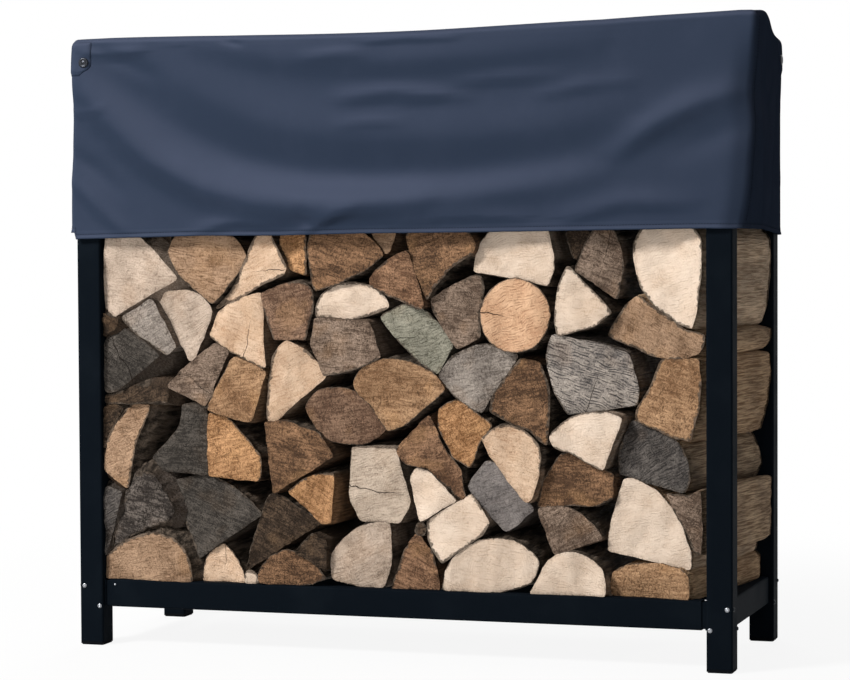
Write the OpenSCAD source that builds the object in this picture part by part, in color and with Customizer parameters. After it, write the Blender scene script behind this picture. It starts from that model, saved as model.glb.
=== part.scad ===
// Firewood rack of square steel tube on four posts, filled with split logs and
// topped by a fabric cover that hangs over the upper third.
// Millimetres. Origin on the ground under the middle of the rack, front at -Y, up is +Z.

/* [Rack] */
// Length over the posts
rack_length = 1200; // [900:10:1500]
// Depth over the posts, front to back
rack_depth = 420; // [360:5:480]
// Height of the post tops above the ground
post_height = 1090; // [900:5:1300]
// Side of the square post tube
post_side = 45; // [38:1:55]
// Wall of every tube
tube_wall = 2; // [1.5:0.5:3]
// Outer corner radius of every tube
tube_corner = 4; // [3:0.5:6]

/* [Feet] */
// Thickness of the plug's flange under the post
foot_flange = 6; // [4:0.5:10]
// Height of the flange's drawn-in sole
foot_sole = 2; // [1:0.5:3]
// How far the sole is drawn in all round
foot_inset = 1.5; // [0.5:0.5:3]
// Length of the plug inside the post
foot_spigot = 28; // [15:1:40]

/* [Bottom rails] */
// Underside of the bottom rails above the ground
rail_bottom = 70; // [40:5:140]
// Height of the bottom rails
rail_height = 50; // [40:1:60]
// Thickness of the bottom rails
rail_thick = 30; // [25:1:40]
// Thickness of the socket's plate on the post
socket_plate = 3; // [2:0.5:5]
// How far the socket's plate stands past its tongue all round
socket_lip = 2; // [1:0.5:4]
// Length of tongue left bare between the plate and the rail
socket_neck = 7; // [4:1:12]
// Length of the tongue inside the rail
socket_tongue = 40; // [25:1:60]

/* [Top rails] */
// Side of the square top rail tube
top_side = 30; // [25:1:40]
// Rise of the bowed end rails at mid depth
top_rise = 14; // [8:1:50]

/* [Cover] */
// Height of the cover's hem above the ground
hem_height = 743; // [600:1:900]
// How far the cover stands off the posts, outside
cover_overhang = 12; // [8:1:20]
// Thickness of the cover
cover_thick = 3; // [2:0.5:4]
// Outer radius of the cover's soft edges
cover_edge = 11; // [8:1:20]

/* [Logs] */
// How far the foremost log ends lie behind the front of the posts
log_recess = 6; // [3:1:20]
// Largest further step back of a log end
log_stagger = 16; // [0:1:30]
// Turn of the right-hand column, rear ends outwards, in degrees
fan_angle = 10; // [0:0.5:11]
// How far the turned logs stop short of the rear posts
fan_short = 8; // [3:1:40]

/* [Fit] */
// Gap between a piece and what carries it
seat = 0.3; // [0.2:0.05:0.5]
// Overrun of cuts past a surface
over = 1; // [0.5:0.5:2]

/* [Hidden] */
half_length = rack_length / 2;
half_depth = rack_depth / 2;
bay_width = rack_length - 2 * post_side;
bay_depth = rack_depth - 2 * post_side;
post_x = half_length - post_side / 2;
post_y = half_depth - post_side / 2;
rail_top = rail_bottom + rail_height;
rail_mid = rail_bottom + rail_height / 2;
socket_reach = socket_plate + socket_neck;
top_mid = post_height - top_side / 2;
stack_height = hem_height - rail_top;
round_facets = 24;
arc_steps = 4;
bow_steps = 24;

// A bowed end rail is an arc through both post faces and the rise at mid depth
bow_radius = (bay_depth * bay_depth / 4 + top_rise * top_rise) / (2 * top_rise);
bow_half_angle = asin(bay_depth / 2 / bow_radius);

// Limits of how far a log's height may be drawn out to reach the logs below it
stretch_share = 1.3;

frame_colour = [0.06, 0.08, 0.11];
plug_colour = [0.03, 0.03, 0.035];
cover_colour = [0.17, 0.21, 0.28];
log_colours = [[0.74, 0.58, 0.42], [0.62, 0.48, 0.36], [0.52, 0.46, 0.41]];

// Log outlines, bottom row to top row, one log to a bracket.
// A corner is its share across the bay and its share of the height from the rail to
// the hem, both in hundredths, then the swell of the side that follows it as a share
// of that side. Corners run anticlockwise as seen from the front. Logs of a row stand
// in the order they would be laid.
row_1_shares = [
    [[0.1, 0.4, 0], [15.5, 0.2, 0.22], [9, 13.8, 0.10], [0.1, 6.5, 0]],
    [[16.6, 0.1, 0], [24.3, 0.1, 0.08], [20.3, 11, 0.12], [16.8, 5, 0]],
    [[24.5, 0.1, 0], [26.6, 0.1, 0.15], [26.4, 2.8, 0.15], [24.8, 3.9, 0.05]],
    [[27.2, 0.1, 0.03], [36, 0.3, 0], [38.4, 2.2, 0.07], [31.6, 10.3, 0.14], [26.8, 2.5, 0]],
    [[49.1, 0.1, 0], [57, 0.1, 0.02], [55.7, 9.5, 0.04], [53.2, 15.8, 0.03], [50.9, 10.4, 0]],
    [[39.2, 1.9, 0], [43.5, 0.1, 0], [47.5, 0.1, 0.02], [48.9, 9.5, 0.02], [48.4, 18.5, 0.15],
        [39, 9.3, 0.02]],
    [[71.9, 0.1, 0], [83.9, 0.1, 0.03], [83.6, 7.2, 0.14], [77.6, 11.9, 0.14], [73.4, 5, 0]],
    [[57.6, 0.1, 0], [67.3, 0.1, 0], [72.2, 3.2, 0.05], [73.4, 9.2, 0.12], [67, 15.3, 0.155],
        [58.2, 5.5, 0]],
    [[84, 0.1, 0], [96.8, 0.1, 0], [97, 6.8, 0.05], [95.6, 8.6, 0.09], [84.2, 6.6, 0]],
];
row_2_shares = [
    [[0.6, 8.6, 0], [5, 13.8, 0], [11.2, 17.6, 0], [12.3, 20.6, 0.02], [8.6, 31.2, 0.1],
        [5.8, 30.8, 0.02], [2.8, 21.5, 0]],
    [[33.2, 9.4, 0], [38.4, 4.2, 0], [38.6, 13, 0.03], [36.2, 15.2, 0.05]],
    [[24.3, 4.6, 0], [37.6, 18.4, 0], [30.2, 26.1, 0.08], [28.6, 25.6, 0], [27, 19.5, 0]],
    [[15.9, 7.8, 0], [27.2, 20.6, 0.06], [17.6, 30.8, 0.02], [11.2, 28.8, 0], [13, 19, 0]],
    [[54.1, 14.6, 0.2], [55, 16.9, 0.2], [54.1, 19.3, 0.2], [53.1, 16.9, 0.2]],
    [[57.6, 7.8, 0], [64.6, 16.6, 0], [65.6, 19.5, 0.03], [63.6, 25, 0], [62.4, 27.2, 0],
        [55.2, 19.6, 0], [55.2, 14.3, 0]],
    [[75.8, 11.8, 0], [83.6, 16.6, 0.06], [78.3, 24.2, 0.04], [73, 23.6, 0]],
    [[83.8, 13.2, 0], [97, 9.2, 0], [97.2, 13.5, 0.136], [88, 32.4, 0.03], [86.2, 32.2, 0.02],
        [84.2, 22, 0]],
    [[31.9, 27.2, 0], [37.7, 19.2, 0], [39.3, 19.8, 0], [39.8, 32, 0], [36.8, 31.8, 0.03],
        [34.3, 30.4, 0]],
    [[54.2, 19.8, 0], [60, 25.6, 0.02], [56.3, 32.2, 0.03], [53.6, 34.5, 0.08], [52.5, 31, 0.02]],
    [[67.9, 17.2, 0.02], [72.3, 23.4, 0.02], [66, 35.8, 0.08], [64.4, 36.4, 0], [61.7, 29.4, 0.02]],
    [[0.1, 10.6, 0], [2.5, 21.8, 0], [3.2, 25.6, 0.02], [0.1, 27, 0]],
    [[97.5, 14.6, 0], [98.8, 13.2, 0], [99, 30, 0.03], [97.2, 28.6, 0], [93.4, 28.8, 0.02], [95, 23.6, 0]],
];
row_3_shares = [
    [[4.3, 26.3, 0], [5.6, 39.5, 0], [8, 50.6, 0.02], [4.6, 50.8, 0.05], [1, 42, 0.02],
        [0.1, 31.5, 0]],
    [[10.2, 32.2, 0], [17.5, 31.6, 0], [17.8, 42, 0], [17.3, 50.9, 0.06], [13.2, 50.8, 0],
        [12.3, 44, 0], [8.1, 36, 0]],
    [[17.95, 31.2, 0], [26.4, 29.9, 0.05], [27.2, 33.5, 0], [26.9, 36.8, 0], [21.8, 46.8, 0.04],
        [19.2, 49, 0], [18.2, 48.6, 0]],
    [[29.5, 26, 0], [39.6, 36.8, 0.03], [37, 43.5, 0], [32.5, 46.7, 0.02], [28.1, 46.3, 0]],
    [[43.5, 19.2, 0], [50.3, 19, 0.03], [52.2, 25, 0.02], [49.9, 39.4, 0], [42.5, 39.5, 0],
        [41.9, 26, 0.04]],
    [[72.9, 24.4, 0], [82.8, 25.3, 0], [84.9, 27.4, 0], [85, 33.9, 0], [83.3, 34.8, 0],
        [78.2, 39.3, 0], [76.6, 39.2, 0], [73.9, 32, 0]],
    [[51.3, 36.4, 0], [55, 35, 0], [60.8, 27, 0], [61.5, 27.6, 0], [60.6, 34.5, 0],
        [57.4, 42.2, 0.03], [55.4, 48.9, 0.03], [50.1, 39.7, 0.02]],
    [[71.4, 26.8, 0], [72.3, 27.4, 0.03], [73.9, 38.5, 0.1], [71.6, 44.8, 0.05], [68.4, 46.6, 0.1],
        [64.1, 43.1, 0.02], [68, 33.4, 0]],
    [[62.2, 35.4, 0], [63.8, 43, 0], [65.9, 46.9, 0], [62.2, 51.2, 0.03], [59.3, 53.1, 0.06],
        [57.1, 51, 0.02], [56.9, 46, 0], [59.2, 38.8, 0]],
    [[85.3, 33.5, 0], [96.4, 29, 0.05], [97.3, 33, 0.04], [96.2, 41.3, 0.03], [93.8, 44.4, 0.03],
        [87.2, 48.3, 0.02], [85.2, 39.5, 0]],
    [[83.6, 35.2, 0], [86.8, 49.2, 0.04], [82.8, 50.8, 0.06], [77.6, 48.2, 0.05],
        [75.1, 43.8, 0.03], [75.8, 41, 0], [78.2, 39.9, 0]],
    [[0.1, 34, 0], [0.9, 42.2, 0], [3.6, 49.8, 0], [2.6, 50.6, 0.04], [0.1, 50.4, 0]],
];
row_4_shares = [
    [[0.1, 51.4, 0], [5, 51.1, 0], [11.3, 52, 0.03], [11.5, 55.6, 0.03], [6.6, 56.4, 0.03],
        [2.6, 54.6, 0], [0.1, 53.8, 0]],
    [[0.1, 54.4, 0], [2, 54.5, 0], [10.2, 65.2, 0.02], [3.3, 73.3, 0.1], [0.1, 69.5, 0.02]],
    [[18.1, 49.8, 0], [25.2, 46.5, 0], [26.2, 47.5, 0], [28.2, 60.7, 0.02], [22.7, 65, 0],
        [21.9, 63, 0], [19, 54.6, 0]],
    [[11.1, 57.2, 0], [17.7, 52.2, 0], [19.9, 60, 0], [21.7, 66.6, 0], [19.6, 68.7, 0.02],
        [15.4, 64.3, 0.03]],
    [[38.8, 40.6, 0.05], [44.8, 40.6, 0.04], [48.4, 45.6, 0], [46.3, 50, 0], [43.2, 55, 0.08],
        [37.2, 56, 0.1], [34.6, 50.4, 0.03], [36.6, 44.2, 0.03]],
    [[28.4, 47.2, 0], [29.7, 47.2, 0], [38.2, 59.8, 0.03], [35.2, 66.4, 0.04], [31.6, 69.8, 0.04],
        [29.3, 65.3, 0], [28.4, 58, 0]],
    [[48.9, 44.6, 0], [51.8, 46.3, 0], [58.2, 56.5, 0.04], [55.5, 61.6, 0.05], [49.5, 64.8, 0.06],
        [44.8, 62.5, 0.06], [43.3, 58.5, 0.02], [43.8, 55.2, 0], [46.4, 51.2, 0]],
    [[65.3, 50.6, 0], [69, 47, 0], [71.4, 46.2, 0], [74.6, 41.4, 0], [74.9, 43.5, 0], [75, 57, 0],
        [73.5, 64, 0.03], [70.3, 65.4, 0], [65.4, 54, 0]],
    [[63.9, 50.6, 0], [65.2, 54.6, 0], [69.6, 65.7, 0], [69.2, 66.8, 0], [64.5, 69.2, 0.04],
        [59.2, 65.8, 0.04], [56.9, 60.2, 0.02], [60.2, 53.7, 0]],
    [[88.4, 48.4, 0], [94.5, 44, 0], [97.6, 43, 0], [99, 57.5, 0.02], [98.6, 65.4, 0],
        [92.7, 65.2, 0], [88.5, 51.3, 0]],
];
row_5_shares = [
    [[11, 65, 0], [12.8, 67.4, 0], [9, 81, 0], [8.2, 81.2, 0], [3.2, 76, 0], [6.4, 69.8, 0]],
    [[18.3, 71, 0], [22, 66.8, 0], [27.2, 62.8, 0], [28, 63, 0], [27.5, 70, 0], [27.2, 83.2, 0.02],
        [22, 80.6, 0.02], [19.4, 77.4, 0]],
    [[14.3, 65.2, 0], [15.4, 65.4, 0], [17, 71.3, 0], [18.8, 78.6, 0.1], [16.8, 82.6, 0.05],
        [13.5, 84, 0.06], [9.2, 82.2, 0]],
    [[38.3, 60.4, 0], [43.8, 62.2, 0], [47.8, 65.6, 0], [45.6, 75.2, 0], [36.4, 76.1, 0],
        [35.8, 69, 0]],
    [[29.3, 70.4, 0], [34.8, 70.8, 0], [36.2, 78.4, 0], [36.2, 84.4, 0.1], [33, 86.4, 0.04],
        [27.7, 83.2, 0.02], [28.1, 77.5, 0]],
    [[56.6, 61, 0], [59.4, 68.8, 0.04], [55.2, 78, 0.04], [51.4, 80.1, 0.05], [47.2, 76.6, 0.04],
        [50.1, 70.4, 0], [54.5, 63.3, 0]],
    [[77.7, 50.2, 0], [88.5, 52.9, 0], [89, 55.4, 0.02], [87.4, 66.9, 0.02], [80, 70.6, 0],
        [75.5, 71.8, 0.02], [74.4, 65.5, 0.02], [75.8, 55.6, 0]],
    [[69.7, 67.45, 0.207], [75.35, 77.4, 0.207], [69.7, 87.35, 0.207], [64.05, 77.4, 0.207]],
    [[59.9, 69.2, 0], [63.8, 72.2, 0], [63.7, 78.6, 0], [64.7, 84.8, 0], [64.3, 87.8, 0.05],
        [63, 88.2, 0.02], [55.7, 82.2, 0.02], [56, 79.4, 0.02]],
    [[36.45, 77, 0], [42.5, 76.3, 0], [45, 77.2, 0], [48.6, 79.6, 0.04], [47.2, 83.6, 0.05],
        [43, 86.4, 0.06], [38, 84, 0.06], [36.5, 79.5, 0]],
    [[83.6, 71.8, 0], [91, 66.6, 0.03], [95, 65.6, 0.04], [98.4, 67, 0.03], [99.2, 69.5, 0],
        [99.2, 72.2, 0], [96.5, 73.4, 0], [88.8, 82.6, 0.03], [86.3, 79.2, 0]],
    [[76.6, 72.8, 0], [82.4, 75.2, 0], [85.2, 78.8, 0], [78.8, 89.9, 0.05], [78.1, 90.6, 0],
        [76.9, 86, 0.02], [76.1, 77, 0]],
    [[0.1, 70.6, 0], [2.8, 73.8, 0], [2.9, 75.6, 0.02], [1.6, 76.2, 0], [0.1, 77.4, 0]],
];
row_6_shares = [
    [[0.4, 77.6, 0], [1.8, 76.4, 0], [13.1, 87.5, 0.03], [6.2, 100, 0.12], [1, 100.6, 0.02],
        [0.1, 89, 0.01]],
    [[19.2, 79.7, 0], [24, 82.8, 0], [27.6, 86.6, 0], [31.3, 89, 0], [32, 91.2, 0],
        [29.9, 98.4, 0.03], [28.3, 101.5, 0.06], [26.7, 99.4, 0], [23.9, 90.8, 0],
        [22.4, 85.6, 0]],
    [[19.2, 82, 0], [23.5, 90.2, 0], [24.7, 94.8, 0.03], [22.8, 99.4, 0.08], [17, 103.5, 0.08],
        [12.4, 99.2, 0.05], [11.7, 95.6, 0.02], [13.6, 89.2, 0]],
    [[9.2, 95.8, 0], [11.4, 91.8, 0], [11.5, 99.8, 0.03], [9.8, 103.5, 0.06], [7.4, 100.4, 0]],
    [[32.3, 91.2, 0], [34.9, 90, 0], [35, 99.4, 0.03], [34.2, 102.5, 0.05], [31, 101, 0.03],
        [30.2, 98.4, 0]],
    [[54.5, 80, 0], [55, 81.4, 0], [52.6, 94.2, 0.03], [51.6, 94.8, 0.03], [48, 91.5, 0.02],
        [46, 87.8, 0.03], [46.2, 85.8, 0], [49.5, 83, 0]],
    [[36.7, 84.8, 0], [40, 86.4, 0], [45, 90, 0], [48.2, 94.3, 0.03], [45.6, 99.4, 0.04],
        [42, 103.4, 0.06], [36.4, 102, 0.06], [35.3, 95.5, 0], [36.1, 86.2, 0]],
    [[48.1, 95, 0], [49, 95.6, 0], [50, 100.5, 0.04], [48.5, 103.5, 0.06], [45.9, 100.4, 0.02]],
    [[62.7, 89.6, 0], [70, 87.6, 0], [75, 85.5, 0], [76, 90, 0.02], [74.9, 101, 0.06],
        [68, 102.6, 0.08], [63.7, 97.2, 0.02]],
    [[55.3, 82.8, 0], [57, 87, 0], [59, 90.6, 0], [63.1, 95, 0], [63.5, 97.4, 0.03],
        [62, 101, 0.05], [56, 103.5, 0.08], [51.9, 99.6, 0.02], [52.7, 94.4, 0]],
    [[85.9, 82.6, 0], [86.9, 91, 0.03], [85.4, 100, 0.05], [83.2, 102.6, 0.05], [81.5, 99.5, 0],
        [79.1, 90, 0]],
    [[78.7, 94.2, 0], [79.7, 94.2, 0], [81.5, 100, 0.03], [80.5, 103.5, 0.05], [77.8, 102.5, 0.03],
        [77.5, 99.5, 0]],
    [[88.9, 85, 0], [91.8, 79.4, 0], [95, 75.4, 0], [97.6, 73.8, 0], [98.4, 80, 0],
        [99.2, 89, 0.02], [99.1, 98, 0.08], [96, 102.8, 0.04], [90.5, 103, 0.1], [87.7, 97, 0.03]],
];
all_rows_shares = [row_1_shares, row_2_shares, row_3_shares, row_4_shares, row_5_shares, row_6_shares];

// A log whose middle lies beyond this share of the bay belongs to the fanned-out column
fan_share = 90;

// Share of the bay about which that column is turned, at its front ends
fan_pivot_share = 97.5;

// Outline work

// A corner given in shares, in millimetres across and up
function corner(c) = [(c[0] / 100 - 1 / 2) * bay_width, rail_top + c[1] / 100 * stack_height];

// Points from corner a up to, but without, corner b, swelling outwards between them
function side_points(a, b, swell) =
    let (run = b - a, out = [run[1], -run[0]])
    swell == 0 ? [a] :
    [for (k = [0 : arc_steps - 1]) let (t = k / arc_steps) a + run * t + out * swell * 4 * t * (1 - t)];

// Whole outline of one log
function outline(g) =
    [for (k = [0 : len(g) - 1]) each side_points(corner(g[k]), corner(g[(k + 1) % len(g)]), g[k][2])];

function across(p) = [for (c = p) c[0]];
function upward(p) = [for (c = p) c[1]];

// Heights at which outline p crosses the upright line at x
function crossings(p, x) =
    [for (k = [0 : len(p) - 1])
        let (a = p[k], b = p[(k + 1) % len(p)])
        if (min(a[0], b[0]) <= x && x <= max(a[0], b[0]))
            each (a[0] == b[0] ? [a[1], b[1]] : [a[1] + (b[1] - a[1]) * (x - a[0]) / (b[0] - a[0])])];

// Shares by which p's height would have to change to sit on q at each of their corners
function seat_shares(p, q, top) =
    let (left = max(min(across(p)), min(across(q))), right = min(max(across(p)), max(across(q))))
    left >= right ? [] :
    [for (x = concat(across(p), across(q)))
        if (left <= x && x <= right)
            let (low = min(crossings(p, x)))
            if (low < top - seat) (top - seat - max(crossings(q, x))) / (top - low)];

// Outline p with its top kept and its height drawn out or in until it sits on those laid before
function seated(p, laid) =
    let (
        top = max(upward(p)),
        low = min(upward(p)),
        lowest = top - stretch_share * (top - low),
        on_rail = (top - seat - rail_top) / (top - low),
        near = [for (q = laid) if (max(upward(q)) > lowest) each seat_shares(p, q, top)],
        share = min(concat([stretch_share, on_rail], near))
    )
    [for (c = p) [c[0], top - (top - c[1]) * share]];

// Outlines of the logs from the k-th of the flat list on, laid one after another
function lay(flat, k, laid) =
    k == len(flat) ? laid : lay(flat, k + 1, concat(laid, [seated(outline(flat[k]), laid)]));

// Solids shared by several pieces

module rounded_square(wide, high, corner_radius) {
    square([wide - 2 * corner_radius, high], center = true);
    square([wide, high - 2 * corner_radius], center = true);
    for (x = [-1, 1], y = [-1, 1])
        translate([x * (wide / 2 - corner_radius), y * (high / 2 - corner_radius)])
            circle(corner_radius, $fn = round_facets);
}

module tube_section(wide, high) {
    difference() {
        rounded_square(wide, high, tube_corner);
        rounded_square(wide - 2 * tube_wall, high - 2 * tube_wall, tube_corner - tube_wall);
    }
}

// Tube along X, centred
module tube_x(long, thick, high) {
    rotate([90, 0, 90])
        translate([0, 0, -long / 2])
            linear_extrude(long)
                tube_section(thick, high);
}

module post(x, y) {
    color(frame_colour)
        translate([x, y, foot_flange + seat])
            linear_extrude(post_height - foot_flange - seat)
                tube_section(post_side, post_side);
}

module foot(x, y) {
    bore = post_side - 2 * tube_wall - 2 * seat;
    color(plug_colour)
        translate([x, y, 0]) {
            linear_extrude(foot_sole)
                rounded_square(post_side - 2 * foot_inset, post_side - 2 * foot_inset, tube_corner);
            translate([0, 0, foot_sole])
                linear_extrude(foot_flange - foot_sole)
                    rounded_square(post_side, post_side, tube_corner);
            translate([0, 0, foot_flange])
                linear_extrude(foot_spigot)
                    rounded_square(bore, bore, tube_corner - tube_wall);
        }
}

// Socket pointing along +X from the plane x = 0
module socket() {
    thick = rail_thick - 2 * tube_wall - 2 * seat;
    high = rail_height - 2 * tube_wall - 2 * seat;
    rotate([90, 0, 90]) {
        translate([0, 0, seat])
            linear_extrude(socket_plate - seat)
                rounded_square(thick + 2 * socket_lip, high + 2 * socket_lip, tube_corner - tube_wall);
        translate([0, 0, socket_plate])
            linear_extrude(socket_neck + socket_tongue)
                rounded_square(thick, high, tube_corner - tube_wall);
    }
}

// The two sockets on the inner faces of one post
module corner_sockets(side, end) {
    color(frame_colour) {
        translate([side * bay_width / 2, end * post_y, rail_mid])
            mirror([side > 0 ? 1 : 0, 0, 0])
                socket();
        translate([side * post_x, end * bay_depth / 2, rail_mid])
            rotate([0, 0, -end * 90])
                socket();
    }
}

module long_rail(end) {
    color(frame_colour)
        translate([0, end * post_y, rail_mid])
            tube_x(bay_width - 2 * socket_reach, rail_thick, rail_height);
}

module short_rail(side) {
    color(frame_colour)
        translate([side * post_x, 0, rail_mid])
            rotate([0, 0, 90])
                tube_x(bay_depth - 2 * socket_reach, rail_thick, rail_height);
}

module long_top_rail(end) {
    color(frame_colour)
        translate([0, end * post_y, top_mid])
            tube_x(bay_width - 2 * seat, top_side, top_side);
}

// Bowed end rail: a tube bent about a level axis below the rack's end, trimmed at the post faces
module bowed_top_rail(side) {
    reach = bow_radius + top_side;
    spread = bow_half_angle + asin(top_side / bow_radius);
    color(frame_colour)
        translate([side * post_x, 0, top_mid + top_rise - bow_radius])
            intersection() {
                rotate([0, 90, 0])
                    rotate([0, 0, 180 - spread])
                        rotate_extrude(angle = 2 * spread, $fn = 360)
                            translate([bow_radius, 0])
                                tube_section(top_side, top_side);
                translate([-top_side, -bay_depth / 2 + seat, 0])
                    cube([2 * top_side, bay_depth - 2 * seat, reach]);
            }
}

// End view of the cover, or of its inside when drawn in: upright walls, soft edges, crowned top
module cover_profile(half, edge_height, edge) {
    flat = half - edge;
    crown = (flat * flat + top_rise * top_rise) / (2 * top_rise);
    sweep = asin(flat / crown);
    polygon(concat(
        [[half, hem_height - over], [half, hem_height]],
        [for (k = [0 : arc_steps]) let (a = 90 * k / arc_steps)
            [flat + edge * cos(a), edge_height - edge + edge * sin(a)]],
        [for (k = [1 : bow_steps - 1]) let (a = sweep - 2 * sweep * k / bow_steps)
            [crown * sin(a), edge_height + top_rise - crown + crown * cos(a)]],
        [for (k = [0 : arc_steps]) let (a = 90 + 90 * k / arc_steps)
            [-flat + edge * cos(a), edge_height - edge + edge * sin(a)]],
        [[-half, hem_height], [-half, hem_height - over]]
    ));
}

module cover_body(inside) {
    edge = cover_edge - inside;
    half_x = half_length + cover_overhang - inside;
    half_y = half_depth + cover_overhang - inside;
    edge_height = post_height + seat + cover_thick - inside;
    tall = edge_height + top_rise;
    intersection() {
        rotate([90, 0, 90])
            translate([0, 0, -half_x])
                linear_extrude(2 * half_x)
                    cover_profile(half_y, edge_height, edge);
        translate([0, 0, hem_height - (inside > 0 ? over : 0)])
            linear_extrude(tall)
                rounded_square(2 * half_x, 2 * half_y, edge);
    }
}

module cover() {
    color(cover_colour)
        difference() {
            cover_body(0);
            cover_body(cover_thick);
        }
}

// One row of logs, each an outline drawn from front to back
module log_row(row) {
    before = [for (r = [0 : 1 : row - 2]) each all_rows_shares[r]];
    mine = all_rows_shares[row - 1];
    first = len(before);
    laid = lay(concat(before, mine), 0, []);
    pivot = [(fan_pivot_share / 100 - 1 / 2) * bay_width, -half_depth + log_recess, 0];
    for (k = [first : len(laid) - 1]) {
        p = laid[k];
        middle = (min(across(p)) + max(across(p))) / 2;
        fanned = middle > (fan_share / 100 - 1 / 2) * bay_width;
        beside_post = min(across(p)) < (post_side - bay_width) / 2;
        near_step = beside_post || fanned ? 0 : log_stagger * (1 + sin(k * 97)) / 2;
        far_step = log_stagger * (1 + cos(k * 71)) / 2;
        front = -half_depth + log_recess + near_step;
        rear = fanned ? bay_depth / 2 - fan_short - log_stagger : half_depth - log_recess - far_step;
        color(log_colours[k % len(log_colours)])
            translate(pivot)
                rotate([0, 0, fanned ? -fan_angle : 0])
                    translate(-pivot)
                        translate([0, rear, 0])
                            rotate([90, 0, 0])
                                linear_extrude(rear - front)
                                    polygon(p);
    }
}

module post_front_left() { post(-post_x, -post_y); }
module post_front_right() { post(post_x, -post_y); }
module post_rear_left() { post(-post_x, post_y); }
module post_rear_right() { post(post_x, post_y); }
module foot_front_left() { foot(-post_x, -post_y); }
module foot_front_right() { foot(post_x, -post_y); }
module foot_rear_left() { foot(-post_x, post_y); }
module foot_rear_right() { foot(post_x, post_y); }
module sockets_front_left() { corner_sockets(-1, -1); }
module sockets_front_right() { corner_sockets(1, -1); }
module sockets_rear_left() { corner_sockets(-1, 1); }
module sockets_rear_right() { corner_sockets(1, 1); }
module bottom_rail_front() { long_rail(-1); }
module bottom_rail_rear() { long_rail(1); }
module bottom_rail_left() { short_rail(-1); }
module bottom_rail_right() { short_rail(1); }
module top_rail_front() { long_top_rail(-1); }
module top_rail_rear() { long_top_rail(1); }
module top_rail_left() { bowed_top_rail(-1); }
module top_rail_right() { bowed_top_rail(1); }
module log_row_1() { log_row(1); }
module log_row_2() { log_row(2); }
module log_row_3() { log_row(3); }
module log_row_4() { log_row(4); }
module log_row_5() { log_row(5); }
module log_row_6() { log_row(6); }

post_front_left();
post_front_right();
post_rear_left();
post_rear_right();
foot_front_left();
foot_front_right();
foot_rear_left();
foot_rear_right();
sockets_front_left();
sockets_front_right();
sockets_rear_left();
sockets_rear_right();
bottom_rail_front();
bottom_rail_rear();
bottom_rail_left();
bottom_rail_right();
top_rail_front();
top_rail_rear();
top_rail_left();
top_rail_right();
cover();
log_row_1();
log_row_2();
log_row_3();
log_row_4();
log_row_5();
log_row_6();
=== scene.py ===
"""Dresses the firewood rack: coated square tube, split logs and a fabric cover with snaps and stitches."""
import logging
import math
from dataclasses import dataclass
from enum import Enum
from typing import Callable, Iterable, Optional, Sequence, Union

import bpy
import numpy as np
from mathutils import Matrix, Vector
from mathutils.geometry import delaunay_2d_cdt


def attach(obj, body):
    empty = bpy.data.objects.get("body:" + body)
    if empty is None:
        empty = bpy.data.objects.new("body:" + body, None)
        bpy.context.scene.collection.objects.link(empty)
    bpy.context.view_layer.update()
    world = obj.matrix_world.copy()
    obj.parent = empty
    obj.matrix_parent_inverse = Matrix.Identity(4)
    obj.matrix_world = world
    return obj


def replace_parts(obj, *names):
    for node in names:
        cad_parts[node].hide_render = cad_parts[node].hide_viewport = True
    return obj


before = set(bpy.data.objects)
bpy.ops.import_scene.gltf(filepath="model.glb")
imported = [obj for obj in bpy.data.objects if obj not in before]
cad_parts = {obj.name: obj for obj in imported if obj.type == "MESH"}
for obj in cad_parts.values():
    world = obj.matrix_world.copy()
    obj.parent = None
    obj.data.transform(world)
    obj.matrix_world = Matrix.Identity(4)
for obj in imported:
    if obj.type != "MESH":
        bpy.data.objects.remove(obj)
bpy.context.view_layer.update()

log = logging.getLogger("firewood_rack")

Colour = tuple[float, float, float]
Value = Union[float, Sequence[float], bpy.types.NodeSocket]

UP = np.array([0.0, 0.0, 1.0])
MM = 0.001
TINY = 1e-9
PHASES = 6.3
ROOT = "root"


def tone(red: int, green: int, blue: int) -> Colour:
    """Turns a colour as seen on a screen into the linear one that shaders take.

    Args:
        red, green, blue: Screen values from 0 to 255.

    Returns:
        The linear colour.
    """
    shares = (channel / 255 for channel in (red, green, blue))
    return tuple(c / 12.92 if c <= 0.04045 else ((c + 0.055) / 1.055) ** 2.4 for c in shares)


def smooth(values: np.ndarray, low: float, high: float) -> np.ndarray:
    """Rises softly from 0 at low to 1 at high."""
    share = np.clip((values - low) / (high - low), 0, 1)
    return share * share * (3 - 2 * share)


def eased(line: np.ndarray, times: int) -> np.ndarray:
    """Returns a line with its inner points drawn towards their neighbours a number of times."""
    line = line.copy()
    for _ in range(times):
        line[1:-1] = (line[:-2] + 2 * line[1:-1] + line[2:]) / 4
    return line


def run_along(points: np.ndarray) -> np.ndarray:
    """Returns how far along a line each of its points lies."""
    return np.concatenate([[0], np.cumsum(np.linalg.norm(np.diff(points, axis=0), axis=1))])


def apart(first: np.ndarray, second: np.ndarray) -> np.ndarray:
    """Returns the distance from each of the first points to each of the second."""
    return np.sqrt(((first[:, None] - second[None]) ** 2).sum(2))


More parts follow.
